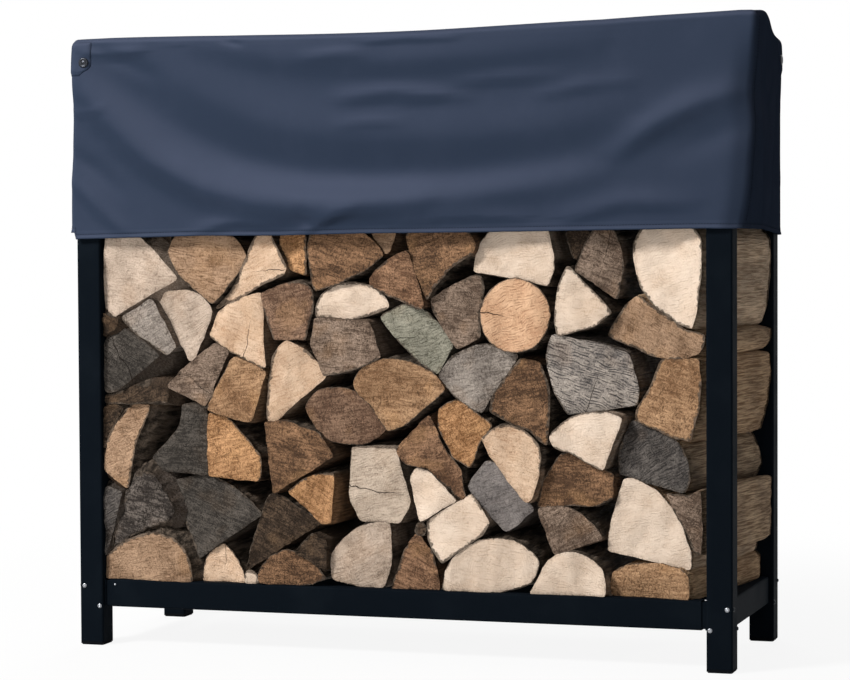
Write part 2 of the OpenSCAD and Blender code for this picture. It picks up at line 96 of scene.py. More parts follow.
class Nodes:
    """Adds nodes to one tree and links them."""

    def __init__(self, tree: bpy.types.NodeTree) -> None:
        """Keeps the tree that the nodes go to."""
        self.tree = tree

    def feed(self, socket: bpy.types.NodeSocket, value: Value) -> None:
        """Links a socket to an output, or sets its plain value."""
        if isinstance(value, bpy.types.NodeSocket):
            self.tree.links.new(value, socket)
        else:
            socket.default_value = value

    def add(self, kind: str, inputs: Optional[dict] = None, **settings: object) -> bpy.types.Node:
        """Makes a node.

        Args:
            kind: Blender's name of the node type.
            inputs: Values or outputs by the input's name or number.
            settings: Properties of the node itself.

        Returns:
            The node.
        """
        node = self.tree.nodes.new(kind)
        for name, value in settings.items():
            setattr(node, name, value)
        for key, value in (inputs or {}).items():
            self.feed(node.inputs[key], value)
        return node

    def math(self, operation: str, *values: Value, clamp: bool = False) -> bpy.types.NodeSocket:
        """Returns the output of a math node on the given values."""
        made = self.add("ShaderNodeMath", dict(enumerate(values)), operation=operation, use_clamp=clamp)
        return made.outputs[0]

    def times(self, first: Value, *others: Value) -> bpy.types.NodeSocket:
        """Returns a product."""
        for other in others:
            first = self.math("MULTIPLY", first, other)
        return first

    def scaled(self, value: Value, factor: Value, plus: Value, clamp: bool = False) -> bpy.types.NodeSocket:
        """Returns a value times a factor, plus another value."""
        return self.math("MULTIPLY_ADD", value, factor, plus, clamp=clamp)

    def rest(self, value: Value, clamp: bool = False) -> bpy.types.NodeSocket:
        """Returns what a value leaves of 1."""
        return self.math("SUBTRACT", 1.0, value, clamp=clamp)

    def mix(self, share: Value, first: Value, second: Value) -> bpy.types.NodeSocket:
        """Returns a colour mixed from two."""
        first, second = ((*end, 1.0) if isinstance(end, tuple) else end for end in (first, second))
        return self.add("ShaderNodeMix", {0: share, 6: first, 7: second}, data_type="RGBA").outputs[2]

    def noise(self, where: Value, scale: Value, detail: float = 2.0,
              rough: float = 0.5) -> bpy.types.NodeSocket:
        """Returns the value of a noise texture at a place."""
        inputs = {"Vector": where, "Scale": scale, "Detail": detail, "Roughness": rough}
        return self.add("ShaderNodeTexNoise", inputs).outputs[0]

    def rise(self, value: Value, low: Value, high: Value) -> bpy.types.NodeSocket:
        """Returns a soft step from 0 at low to 1 at high."""
        inputs = {"Value": value, "From Min": low, "From Max": high}
        return self.add("ShaderNodeMapRange", inputs, interpolation_type="SMOOTHSTEP").outputs[0]

    def parts(self, value: Value) -> Sequence[bpy.types.NodeSocket]:
        """Returns the three numbers of a vector."""
        return self.add("ShaderNodeSeparateXYZ", {0: value}).outputs

    def stretched(self, value: Value, by: Sequence[float]) -> bpy.types.NodeSocket:
        """Returns a vector with each axis scaled."""
        return self.add("ShaderNodeVectorMath", {0: value, 1: by}, operation="MULTIPLY").outputs[0]

    def enlarged(self, value: Value, by: Value) -> bpy.types.NodeSocket:
        """Returns a vector with all axes scaled alike."""
        return self.add("ShaderNodeVectorMath", {0: value, "Scale": by}, operation="SCALE").outputs[0]


@dataclass(frozen=True)
class Speckle:
    """A noise texture and the soft mask cut from it.

    Attributes:
        scale: Fineness, in waves a metre.
        detail: Number of finer layers.
        rough: Strength of the finer layers.
        low, high: Noise where the mask starts, and where it is full.
        stretch: Scale of each axis.
    """

    scale: float
    detail: float = 2.0
    rough: float = 0.5
    low: float = 0.0
    high: float = 1.0
    stretch: tuple[float, float, float] = (1.0, 1.0, 1.0)

    def field(self, n: Nodes, where: Value) -> bpy.types.NodeSocket:
        """Returns the plain noise."""
        return n.noise(n.stretched(where, self.stretch), self.scale, self.detail, self.rough)

    def mask(self, n: Nodes, where: Value) -> bpy.types.NodeSocket:
        """Returns the mask."""
        return n.rise(self.field(n, where), self.low, self.high)


class Groups:
    """Shader node groups that several finishes share, each built once."""

    made: dict[str, bpy.types.NodeTree] = {}

    @classmethod
    def group(cls, name: str, numbers: dict[str, float],
              fill: Callable[[Nodes, bpy.types.NodeOutputs], dict]) -> bpy.types.NodeTree:
        """Builds a group, or returns the one already built.

        Args:
            name: Name of the group.
            numbers: Name and default of each input besides the place.
            fill: Adds the inner nodes and returns the socket for each output.

        Returns:
            The node group.
        """
        if name not in cls.made:
            tree = bpy.data.node_groups.new(name, "ShaderNodeTree")
            tree.interface.new_socket("Vector", in_out="INPUT", socket_type="NodeSocketVector")
            for label, default in numbers.items():
                socket = tree.interface.new_socket(label, in_out="INPUT", socket_type="NodeSocketFloat")
                socket.default_value = default
            n = Nodes(tree)
            results = fill(n, n.add("NodeGroupInput").outputs)
            for label in results:
                tree.interface.new_socket(label, in_out="OUTPUT", socket_type="NodeSocketFloat")
            out = n.add("NodeGroupOutput")
            for label, socket in results.items():
                n.feed(out.inputs[label], socket)
            cls.made[name] = tree
        return cls.made[name]

    @classmethod
    def saw_marks(cls) -> bpy.types.NodeTree:
        """Returns the group for the wavy parallel lines that a saw leaves."""

        def fill(n: Nodes, given: bpy.types.NodeOutputs) -> dict:
            """Adds broken, slightly wavy bands."""
            wave = n.times(n.noise(given["Vector"], 28.0, 1.0), given["Waviness"])
            across = n.math("ADD", n.parts(given["Vector"])[1], wave)
            band = n.math("SINE", n.times(n.math("DIVIDE", across, given["Pitch"]), 2 * math.pi))
            kept = Speckle(75.0, 3.0, 0.5, 0.42, 0.62, (1.0, 2.4, 1.0)).mask(n, given["Vector"])
            return {"Line": n.times(n.rise(band, 0.25, 0.95), kept)}

        return cls.group("Saw marks", {"Pitch": 0.003, "Waviness": 0.006}, fill)

    @classmethod
    def growth_rings(cls) -> bpy.types.NodeTree:
        """Returns the group for the year rings round the pith."""

        def fill(n: Nodes, given: bpy.types.NodeOutputs) -> dict:
            """Adds rings of uneven width."""
            wobbly = n.scaled(n.noise(given["Vector"], 16.0), 0.012, given["Radius"])
            late = n.math("POWER", n.math("FRACT", n.math("DIVIDE", wobbly, given["Spacing"])), 3.0)
            return {"Ring": n.times(late, Speckle(34.0, low=0.35, high=0.7).mask(n, given["Vector"]))}

        return cls.group("Growth rings", {"Radius": 0.0, "Spacing": 0.004}, fill)

    @classmethod
    def drying_check(cls) -> bpy.types.NodeTree:
        """Returns the group for the crack that runs out from the pith as a log dries."""

        def fill(n: Nodes, given: bpy.types.NodeOutputs) -> dict:
            """Adds one wandering line that thins towards its end."""
            drift = n.math("SUBTRACT", n.noise(given["Vector"], 34.0, 3.0), 0.5)
            away = n.math("ABSOLUTE", n.scaled(drift, 0.018, given["Offset"]))
            length = n.math("SUBTRACT", n.rise(given["Reach"], 0.05, 0.3), n.rise(given["Reach"], 0.6, 0.95))
            width = n.math("MAXIMUM", n.times(given["Width"], length), 0.00001)
            return {"Crack": n.math("POWER", n.rest(n.math("DIVIDE", away, width), clamp=True), 0.6)}

        return cls.group("Drying check", {"Offset": 0.0, "Reach": 0.0, "Width": 0.001}, fill)

    @classmethod
    def wear(cls) -> bpy.types.NodeTree:
        """Returns the group for dust and fine scuffs on hard surfaces."""

        def fill(n: Nodes, given: bpy.types.NodeOutputs) -> dict:
            """Adds soft blotches and short scratches."""
            where = given["Vector"]
            return {"Dust": Speckle(9.0, 4.0, 0.6, 0.45, 0.75).mask(n, where),
                    "Scuff": Speckle(1.0, 2.0, 0.5, 0.68, 0.78, (260.0, 260.0, 22.0)).mask(n, where),
                    "Peel": n.noise(where, given["Peel"], 1.0)}

        return cls.group("Wear", {"Peel": 700.0}, fill)

    @classmethod
    def weave(cls) -> bpy.types.NodeTree:
        """Returns the group for a plain weave."""

        def fill(n: Nodes, given: bpy.types.NodeOutputs) -> dict:
            """Adds threads that pass over and under each other."""
            x, y, _ = n.parts(n.enlarged(given["Vector"], given["Threads"]))
            warp, weft = (n.math("SINE", n.times(axis, math.pi)) for axis in (x, y))
            slub = Speckle(60.0, stretch=(1.0, 14.0, 1.0)).field(n, given["Vector"])
            return {"Height": n.scaled(n.times(warp, weft), 0.5, 0.5), "Slub": slub}

        return cls.group("Weave", {"Threads": 1400.0}, fill)


class Material:
    """A node material with one Principled shader."""

    def __init__(self, name: str) -> None:
        """Makes the material and finds its shader."""
        self.material = bpy.data.materials.new(name)
        self.material.use_nodes = True
        self.nodes = Nodes(self.material.node_tree)
        self.shader = self.material.node_tree.nodes["Principled BSDF"]

    def set(self, **values: Value) -> None:
        """Sets the shader's sockets, named with underscores for spaces."""
        for name, value in values.items():
            self.nodes.feed(self.shader.inputs[name.replace("_", " ")], value)

    def group(self, tree: bpy.types.NodeTree, inputs: dict) -> bpy.types.NodeOutputs:
        """Places a node group.

        Args:
            tree: The group.
            inputs: Values or outputs by the input's name.

        Returns:
            The outputs of the placed group.
        """
        return self.nodes.add("ShaderNodeGroup", inputs, node_tree=tree).outputs

    def place(self, kind: str = "Object") -> bpy.types.NodeSocket:
        """Returns the place on the object, or on its map of threads."""
        return self.nodes.add("ShaderNodeTexCoord").outputs[kind]

    def attribute(self, name: str, output: str = "Vector") -> bpy.types.NodeSocket:
        """Returns a value that the mesh carries."""
        return self.nodes.add("ShaderNodeAttribute", attribute_name=name).outputs[output]

    def bump(self, height: Value, distance: float, strength: float = 1.0) -> bpy.types.NodeSocket:
        """Returns the normal that a height gives."""
        inputs = {"Height": height, "Distance": distance, "Strength": strength}
        return self.nodes.add("ShaderNodeBump", inputs).outputs[0]


@dataclass(frozen=True)
class CoatFinish:
    """A hard, evenly coloured coat with dust and scuffs.

    Attributes:
        name: Name of the material.
        colour: Colour of the coat.
        dusty: Colour where dust lies.
        rough: Roughness of the clean coat.
        peel: Fineness of the coat's ripple, in waves a metre.
        ripple: Depth of that ripple, in metres.
        metal: Share of bare metal.
        shine: Strength of the mirror-like part.
    """

    name: str
    colour: Colour
    dusty: Colour
    rough: float
    peel: float = 500.0
    ripple: float = 0.0002
    metal: float = 1.0
    shine: float = 0.5

    def make(self) -> bpy.types.Material:
        """Returns the material."""
        made = Material(self.name)
        n = made.nodes
        worn = made.group(Groups.wear(), {"Vector": made.place(), "Peel": self.peel})
        share = n.scaled(worn["Scuff"], 0.35, n.times(worn["Dust"], 0.55))
        made.set(Base_Color=n.mix(share, self.colour, self.dusty), Metallic=self.metal,
                 Roughness=n.scaled(worn["Dust"], 0.14, self.rough), Specular_IOR_Level=self.shine,
                 Normal=made.bump(worn["Peel"], self.ripple, 0.35))
        return made.material


COAT = CoatFinish("frame_powder_coat", (0.0037, 0.0057, 0.0085), (0.0062, 0.0090, 0.0125), 0.50, 900.0,
                  0.0006, 0.0, 0.004)
PLUG = CoatFinish("plug_moulded_plastic", (0.0050, 0.0060, 0.0074), (0.010, 0.011, 0.012), 0.60, 1600.0,
                  0.0004, 0.0, 0.004)
ZINC = CoatFinish("fastener_zinc", (0.34, 0.35, 0.37), (0.18, 0.19, 0.20), 0.30)
BLACKED = CoatFinish("fastener_blacked", (0.013, 0.015, 0.018), (0.022, 0.024, 0.028), 0.40)
NICKEL = CoatFinish("snap_nickel", (0.030, 0.032, 0.037), (0.020, 0.022, 0.026), 0.32)


@dataclass(frozen=True)
class FabricFinish:
    """A coated woven fabric.

    Attributes:
        name: Name of the material.
        colour: Colour of the cloth.
        lit_and_dusty: Paler colour, for dust and for painted light where the cloth faces up.
        threads: Half threads a metre.
        relief: Depth of the weave, in metres.
        lit_facing: How far up the cloth faces where the painted light starts, and where it is full.
    """

    name: str
    colour: Colour
    lit_and_dusty: Colour
    threads: float
    relief: float
    lit_facing: tuple[float, float] = (-0.22, 0.56)

    def make(self) -> bpy.types.Material:
        """Returns the material."""
        made = Material(self.name)
        n = made.nodes
        cloth = made.group(Groups.weave(), {"Vector": made.place("UV"), "Threads": self.threads})
        worn = made.group(Groups.wear(), {"Vector": made.place()})
        # Painted light: the cloth is drawn paler the more it faces up, as if lit from above; dust adds a
        # little of the same paleness.
        facing = n.add("ShaderNodeNewGeometry").outputs["Normal"]
        share = n.scaled(worn["Dust"], 0.10, n.rise(n.parts(facing)[2], *self.lit_facing))
        share = n.scaled(cloth["Slub"], 0.10, share)
        share = n.scaled(cloth["Height"], 0.08, share, clamp=True)
        made.set(Base_Color=n.mix(share, self.colour, self.lit_and_dusty), Specular_IOR_Level=0.0,
                 Roughness=n.scaled(worn["Dust"], 0.10, 0.52),
                 Normal=made.bump(cloth["Height"], self.relief, 0.5))
        return made.material


CLOTH = FabricFinish("cover_coated_weave", (0.0202, 0.0300, 0.0515), (0.051, 0.063, 0.099), 1300.0, 0.0003)
THREAD = FabricFinish("cover_thread", (0.010, 0.014, 0.024), (0.020, 0.028, 0.045), 2600.0, 0.0002)


@dataclass(frozen=True)
class LogFinish:
    """How one kind of log end looks.

    Attributes:
        face: Colour of the sawn end.
        vein: Colour of its streaks, rings and stains.
        saw: Strength of the saw's lines.
        grain: Strength of the coarse speckle.
        ragged: How torn the surface is.
        check: Width of the drying crack, in metres, 0 for none.
    """

    face: Colour
    vein: Colour
    saw: float = 0.2
    grain: float = 0.4
    ragged: float = 0.0
    check: float = 0.0


class Wood(Enum):
    """The finishes found in the stack."""

    CREAM = LogFinish(tone(222, 203, 184), tone(190, 163, 138), 0.18, 0.14)
    STAINED = LogFinish(tone(214, 195, 175), tone(146, 126, 108), 0.25, 0.25, 0.1, 0.0009)
    HONEY = LogFinish(tone(220, 192, 165), tone(176, 139, 108), 0.2, 0.25)
    PEACH = LogFinish(tone(224, 184, 149), tone(176, 128, 94), 0.42, 0.2, 0.0, 0.0009)
    BEIGE = LogFinish(tone(204, 184, 166), tone(150, 130, 112), 0.2, 0.3)
    TAN = LogFinish(tone(188, 155, 126), tone(118, 90, 67), 0.3, 0.4, 0.1)
    SAND = LogFinish(tone(190, 152, 116), tone(130, 96, 68), 0.2, 0.6)
    AMBER = LogFinish(tone(214, 164, 118), tone(130, 90, 56), 0.2, 0.55)
    BROWN = LogFinish(tone(160, 122, 91), tone(88, 65, 48), 0.25, 0.7, 0.2)
    RUSSET = LogFinish(tone(172, 133, 103), tone(104, 76, 57), 0.35, 0.7, 0.3)
    MAUVE = LogFinish(tone(162, 130, 106), tone(104, 78, 62), 0.3, 0.65, 0.2)
    TAUPE = LogFinish(tone(164, 142, 124), tone(100, 82, 69), 0.35, 0.65, 0.25)
    SILVER = LogFinish(tone(172, 161, 150), tone(116, 106, 98), 0.3, 0.5, 0.3)
    SLATE = LogFinish(tone(146, 138, 133), tone(94, 88, 86), 0.3, 0.4)
    MOSS = LogFinish(tone(154, 150, 134), tone(102, 100, 86), 0.5, 0.45, 0.1, 0.0010)
    SAWN = LogFinish(tone(190, 178, 166), tone(88, 84, 83), 0.8, 0.4, 0.2)
    ASH = LogFinish(tone(114, 107, 101), tone(66, 62, 60), 0.75, 0.6, 0.3)
    CHARCOAL = LogFinish(tone(98, 91, 84), tone(52, 48, 44), 0.3, 0.6, 0.3)
    EARTH = LogFinish(tone(98, 80, 64), tone(48, 38, 30), 0.3, 0.8, 0.5)
    TORN = LogFinish(tone(128, 118, 110), tone(60, 54, 50), 0.2, 1.0, 1.0)


# Finishes of each row's logs, from left to right by the middle of each log
STACK: dict[str, str] = {
    "log_row_1": "TAN HONEY CREAM BROWN BEIGE RUSSET CREAM CREAM SAND",
    "log_row_2": "ASH TORN CHARCOAL EARTH AMBER EARTH EARTH CREAM CREAM SLATE TAUPE CREAM TAUPE",
    "log_row_3": "EARTH TAN CHARCOAL AMBER BROWN STAINED RUSSET AMBER HONEY BROWN CREAM ASH",
    "log_row_4": "CHARCOAL EARTH TAUPE SAND HONEY MAUVE SAND SILVER BROWN SAND",
    "log_row_5": "EARTH SILVER BEIGE HONEY MAUVE TAUPE CREAM MOSS TAUPE PEACH CREAM SAWN TAN",
    "log_row_6": "BEIGE EARTH TAN HONEY AMBER BROWN TAN RUSSET BROWN CREAM EARTH TAUPE CREAM",
}


class Firewood:
    """The material of every log, which reads each log's own tones from its mesh."""

    CLOUD = Speckle(11.0, 3.0, 0.6, 0.36, 0.66)
    GLOW = Speckle(17.0, 2.0, 0.5, 0.52, 0.70)
    BLOTCH = Speckle(30.0, 6.0, 0.60, 0.40, 0.70)
    STREAK = Speckle(210.0, 5.0, 0.72, 0.45, 0.66, (0.16, 1.0, 1.0))
    DASH = Speckle(330.0, 5.0, 0.75, 0.48, 0.66, (1.0, 0.5, 1.0))
    PORE = Speckle(480.0, 3.0, 0.7, 0.53, 0.64)
    FIBRE = Speckle(330.0, 4.0, 0.6, stretch=(1.0, 1.0, 0.05))
    FURROW = Speckle(95.0, 5.0, 0.65, stretch=(1.0, 1.0, 0.16))
    BARK_EDGE = Speckle(130.0, 3.0)

    GOLD: Colour = (0.560, 0.310, 0.140)
    SOOT: Colour = (0.030, 0.023, 0.018)
    RIM_SHADE: Colour = (0.060, 0.043, 0.031)
    CRACK: Colour = (0.030, 0.020, 0.014)
    SHADE: Colour = (0.060, 0.042, 0.030)
    LIT_SIDE: tuple[Colour, Colour] = ((0.240, 0.140, 0.070), (0.860, 0.620, 0.390))
    LIT_SIDE_SHADE: Colour = (0.130, 0.085, 0.052)
    BARK: tuple[Colour, Colour] = ((0.026, 0.020, 0.015), (0.165, 0.126, 0.095))

    def __init__(self) -> None:
        """Reads what the mesh carries, and makes the textures that ends and sides share."""
        self.made = made = Material("split_firewood")
        self.n = n = made.nodes
        self.grain = grain = made.attribute("grain")
        self.end, self.bark, self.bark_gap = n.parts(made.attribute("mask"))
        self.saw, self.coarse, self.check = n.parts(made.attribute("traits"))
        self.brink, self.fresh, _ = n.parts(made.attribute("sides"))
        self.radius, self.offset, self.reach = n.parts(made.attribute("figure"))
        self.face, self.vein = (made.attribute(name, "Color") for name in ("face", "vein"))
        self.cloud, self.blotch = self.CLOUD.mask(n, grain), self.BLOTCH.mask(n, grain)
        self.fibre, self.furrow = self.FIBRE.field(n, grain), self.FURROW.field(n, grain)

    def sides(self) -> tuple[bpy.types.NodeSocket, bpy.types.NodeSocket, bpy.types.NodeSocket]:
        """Returns the colour of the sides, their height, and the colour of bark alone."""
        n = self.n
        split = n.mix(n.rise(self.fibre, 0.32, 0.68), self.vein, self.face)
        # Painted shade: the split sides are darkened most of the way to SHADE, as if in shadow between the
        # logs; the turned logs' sides are spared.
        split = n.mix(n.times(n.scaled(self.blotch, 0.35, 0.50), n.rest(self.fresh)), split, self.SHADE)
        # Painted light: the sides of the turned logs at the open right end get pale, warm split-wood tones in
        # place of the painted shade, with darker patches.
        warm = n.mix(n.rise(self.fibre, 0.36, 0.62), *self.LIT_SIDE)
        warm = n.mix(n.times(self.cloud, 0.55), warm, self.LIT_SIDE_SHADE)
        split = n.mix(n.times(self.fresh, 0.6), split, warm)
        bark = n.mix(n.rise(self.furrow, 0.36, 0.66), *self.BARK)
        shown = n.times(self.bark, n.rest(n.times(self.fresh, 0.85)))
        height = n.scaled(self.fibre, 1.2, n.times(self.furrow, n.times(self.bark, 2.0)))
        return n.mix(shown, split, bark), height, bark

    def ends(self, bark: bpy.types.NodeSocket) -> tuple[bpy.types.NodeSocket, bpy.types.NodeSocket]:
        """Works out the sawn ends.

        Args:
            bark: Colour of bark, which shows round an end.

        Returns:
            Their colour and their height.
        """
        n, grain, coarse = self.n, self.grain, self.coarse
        streak, dash, pore = (kind.mask(n, grain) for kind in (self.STREAK, self.DASH, self.PORE))
        line = self.made.group(Groups.saw_marks(),
                               {"Vector": grain, "Pitch": 0.0048, "Waviness": 0.022})["Line"]
        ring = self.made.group(Groups.growth_rings(),
                               {"Vector": grain, "Radius": self.radius, "Spacing": 0.0042})["Ring"]
        shape = {"Vector": grain, "Offset": self.offset, "Reach": self.reach, "Width": self.check}
        crack = self.made.group(Groups.drying_check(), shape)["Crack"]
        speck = n.scaled(pore, 0.55, n.scaled(streak, 0.85, n.times(dash, 0.8)))
        speck = n.times(speck, n.scaled(coarse, 0.9, 0.05))
        sawn = n.times(line, self.saw)

        share = n.times(self.cloud, n.scaled(coarse, 0.30, 0.26))
        share = n.scaled(self.blotch, n.scaled(coarse, 0.45, 0.14), share)
        share = n.scaled(ring, 0.22, n.scaled(speck, 0.95, share))
        share = n.scaled(sawn, 0.85, share, clamp=True)
        red, _, blue = n.parts(self.face)
        ruddy = n.math("MULTIPLY", n.math("SUBTRACT", red, blue), 1.6, clamp=True)
        glow = n.times(self.GLOW.mask(n, grain), ruddy, n.times(coarse, 0.9))
        colour = n.mix(glow, n.mix(share, self.face, self.vein), self.GOLD)
        colour = n.mix(n.times(dash, self.blotch, n.times(coarse, 0.95)), colour, self.SOOT)
        # Painted shade: each end darkens within 9 mm of its rim, where it meets the dark gaps between logs.
        near_edge = n.rest(n.rise(self.brink, 0.0, 0.009))
        colour = n.mix(n.times(near_edge, n.scaled(dash, 0.45, 0.10)), colour, self.RIM_SHADE)
        colour = n.mix(n.times(crack, 0.9), colour, self.CRACK)
        torn = n.scaled(self.BARK_EDGE.field(n, grain), 0.010, -0.0016)
        layer = n.rest(n.rise(n.math("SUBTRACT", self.bark_gap, torn), -0.0005, 0.0012))
        colour = n.mix(n.times(layer, 0.85), colour, bark)

        height = n.scaled(speck, -0.42, n.times(self.blotch, -0.35))
        height = n.scaled(ring, 0.12, n.scaled(sawn, -0.8, height))
        return colour, n.scaled(crack, -1.6, height)

    def make(self) -> bpy.types.Material:
        """Returns the material."""
        n = self.n
        side_colour, side_height, bark = self.sides()
        end_colour, end_height = self.ends(bark)
        heights = {0: self.end, 2: side_height, 3: end_height}
        height = n.add("ShaderNodeMix", heights, data_type="FLOAT").outputs[0]
        self.made.set(Base_Color=n.mix(self.end, side_colour, end_colour), Specular_IOR_Level=0.10,
                      Roughness=n.scaled(self.blotch, 0.12, 0.74), Normal=self.made.bump(height, 0.0036))
        return self.made.material


def settle(obj: bpy.types.Object) -> None:
    """Turns an object with modifiers into a plain mesh."""
    depsgraph = bpy.context.evaluated_depsgraph_get()
    depsgraph.update()
    mesh = bpy.data.meshes.new_from_object(obj.evaluated_get(depsgraph), preserve_all_data_layers=True,
                                           depsgraph=depsgraph)
    obj.modifiers.clear()
    old = obj.data
    obj.data = mesh
    bpy.data.meshes.remove(old)


def new_object(name: str, points: np.ndarray, faces: Sequence[Sequence[int]],
               material: Optional[bpy.types.Material] = None) -> bpy.types.Object:
    """Makes a smooth mesh object at the origin.

    Args:
        name: Name of the object.
        points: Places of its vertices.
        faces: Vertex numbers of each face.
        material: Its material, if it has one yet.

    Returns:
        The object.
    """
    mesh = bpy.data.meshes.new(name)
    mesh.from_pydata(np.asarray(points, float).tolist(), [], [list(map(int, f)) for f in faces])
    mesh.polygons.foreach_set("use_smooth", [True] * len(mesh.polygons))
    if material:
        mesh.materials.append(material)
    mesh.update()
    obj = bpy.data.objects.new(name, mesh)
    bpy.context.scene.collection.objects.link(obj)
    return obj


def put_values(obj: bpy.types.Object, name: str, values: np.ndarray) -> None:
    """Writes a vector or a colour for each vertex.

    Args:
        obj: The object.
        name: Name of the attribute.
        values: The values, one row of three or four numbers a vertex.
    """
    kind, label = {3: ("FLOAT_VECTOR", "vector"), 4: ("FLOAT_COLOR", "color")}[values.shape[1]]
    made = obj.data.attributes.new(name, kind, "POINT")
    made.data.foreach_set(label, np.asarray(values, np.float32).ravel())


def put_map(obj: bpy.types.Object, places: np.ndarray) -> None:
    """Maps a cloth's threads.

    Args:
        obj: The cloth.
        places: Place on the flat cloth of each corner of each face, in metres.
    """
    layer = obj.data.uv_layers.new(name="threads")
    layer.data.foreach_set("uv", places.astype(np.float32).ravel())


class MeshTree:
    """A Geometry Nodes tree that reworks an object's mesh for good."""

    def __init__(self, name: str, inputs: dict[str, Union[str, float]]) -> None:
        """Starts the tree.

        Args:
            name: Name of the tree.
            inputs: Its inputs besides the mesh and the finish: a number's default, or else a socket type.
        """
        self.tree = bpy.data.node_groups.new(name, "GeometryNodeTree")
        sockets = self.tree.interface
        sockets.new_socket("Geometry", in_out="INPUT", socket_type="NodeSocketGeometry")
        for label, start in {**inputs, "Finish": "NodeSocketMaterial"}.items():
            if isinstance(start, str):
                sockets.new_socket(label, in_out="INPUT", socket_type=start)
            else:
                sockets.new_socket(label, in_out="INPUT", socket_type="NodeSocketFloat").default_value = start
        sockets.new_socket("Geometry", in_out="OUTPUT", socket_type="NodeSocketGeometry")
        self.nodes = Nodes(self.tree)
        self.given = self.nodes.add("NodeGroupInput").outputs

    def named(self, name: str) -> bpy.types.NodeSocket:
        """Returns a vector that the mesh carries."""
        read = self.nodes.add("GeometryNodeInputNamedAttribute", {"Name": name}, data_type="FLOAT_VECTOR")
        return read.outputs[0]

    def close(self, geometry: bpy.types.NodeSocket) -> None:
        """Puts out a geometry as one mesh with the finish."""
        n = self.nodes
        whole = n.add("GeometryNodeRealizeInstances", {0: geometry}).outputs[0]
        finish = self.given["Finish"]
        dressed = n.add("GeometryNodeSetMaterial", {"Geometry": whole, "Material": finish}).outputs[0]
        n.feed(n.add("NodeGroupOutput").inputs[0], dressed)

    def apply(self, obj: bpy.types.Object, **values: object) -> None:
        """Reworks an object's mesh.

        Args:
            obj: The object.
            values: Inputs of the tree by their names.
        """
        modifier = obj.modifiers.new(self.tree.name, "NODES")
        modifier.node_group = self.tree
        for item in self.tree.interface.items_tree:
            if item.in_out == "INPUT" and item.name in values:
                modifier[item.identifier] = values[item.name]
        settle(obj)


class Roughening(MeshTree):
    """Wears furrows, fibres and saw ripple into plain logs."""

    FURROW = Speckle(95.0, 4.0, 0.6, 0.68, 0.34, (1.0, 1.0, 0.16))
    FIBRE = Speckle(150.0, 3.0, 0.6, stretch=(1.0, 1.0, 0.07))
    WAVE = Speckle(18.0, stretch=(1.0, 1.0, 0.5))
    RIPPLE = Speckle(46.0, 4.0, 0.55)
    RAG = Speckle(85.0, 5.0, 0.7, 0.35, 0.7, (1.0, 0.5, 1.0))
    DEPTHS = {"Bark depth": 0.0034, "Fibre depth": 0.0020, "Saw ripple": 0.0012, "Torn depth": 0.0055}

    def __init__(self) -> None:
        """Builds the tree."""
        super().__init__("Log roughening", self.DEPTHS)
        n, grain = self.nodes, self.named("grain")
        bark_depth, fibre_depth, ripple_depth, torn_depth = (self.given[label] for label in self.DEPTHS)
        end, bark, _ = n.parts(self.named("mask"))
        torn = n.parts(self.named("sides"))[2]
        cut = n.times(self.FURROW.mask(n, grain), bark, bark_depth)
        split = n.times(n.math("ADD", self.FIBRE.field(n, grain), self.WAVE.field(n, grain)), fibre_depth)
        cut = n.times(n.rest(end), n.math("ADD", cut, split))
        cut = n.math("ADD", cut, n.times(self.RIPPLE.field(n, grain), end, ripple_depth))
        cut = n.math("ADD", cut, n.times(self.RAG.mask(n, grain), torn, torn_depth))
        offset = n.enlarged(n.add("GeometryNodeInputNormal").outputs[0], n.times(cut, -1.0))
        moved = n.add("GeometryNodeSetPosition", {"Geometry": self.given["Geometry"], "Offset": offset})
        self.close(moved.outputs[0])


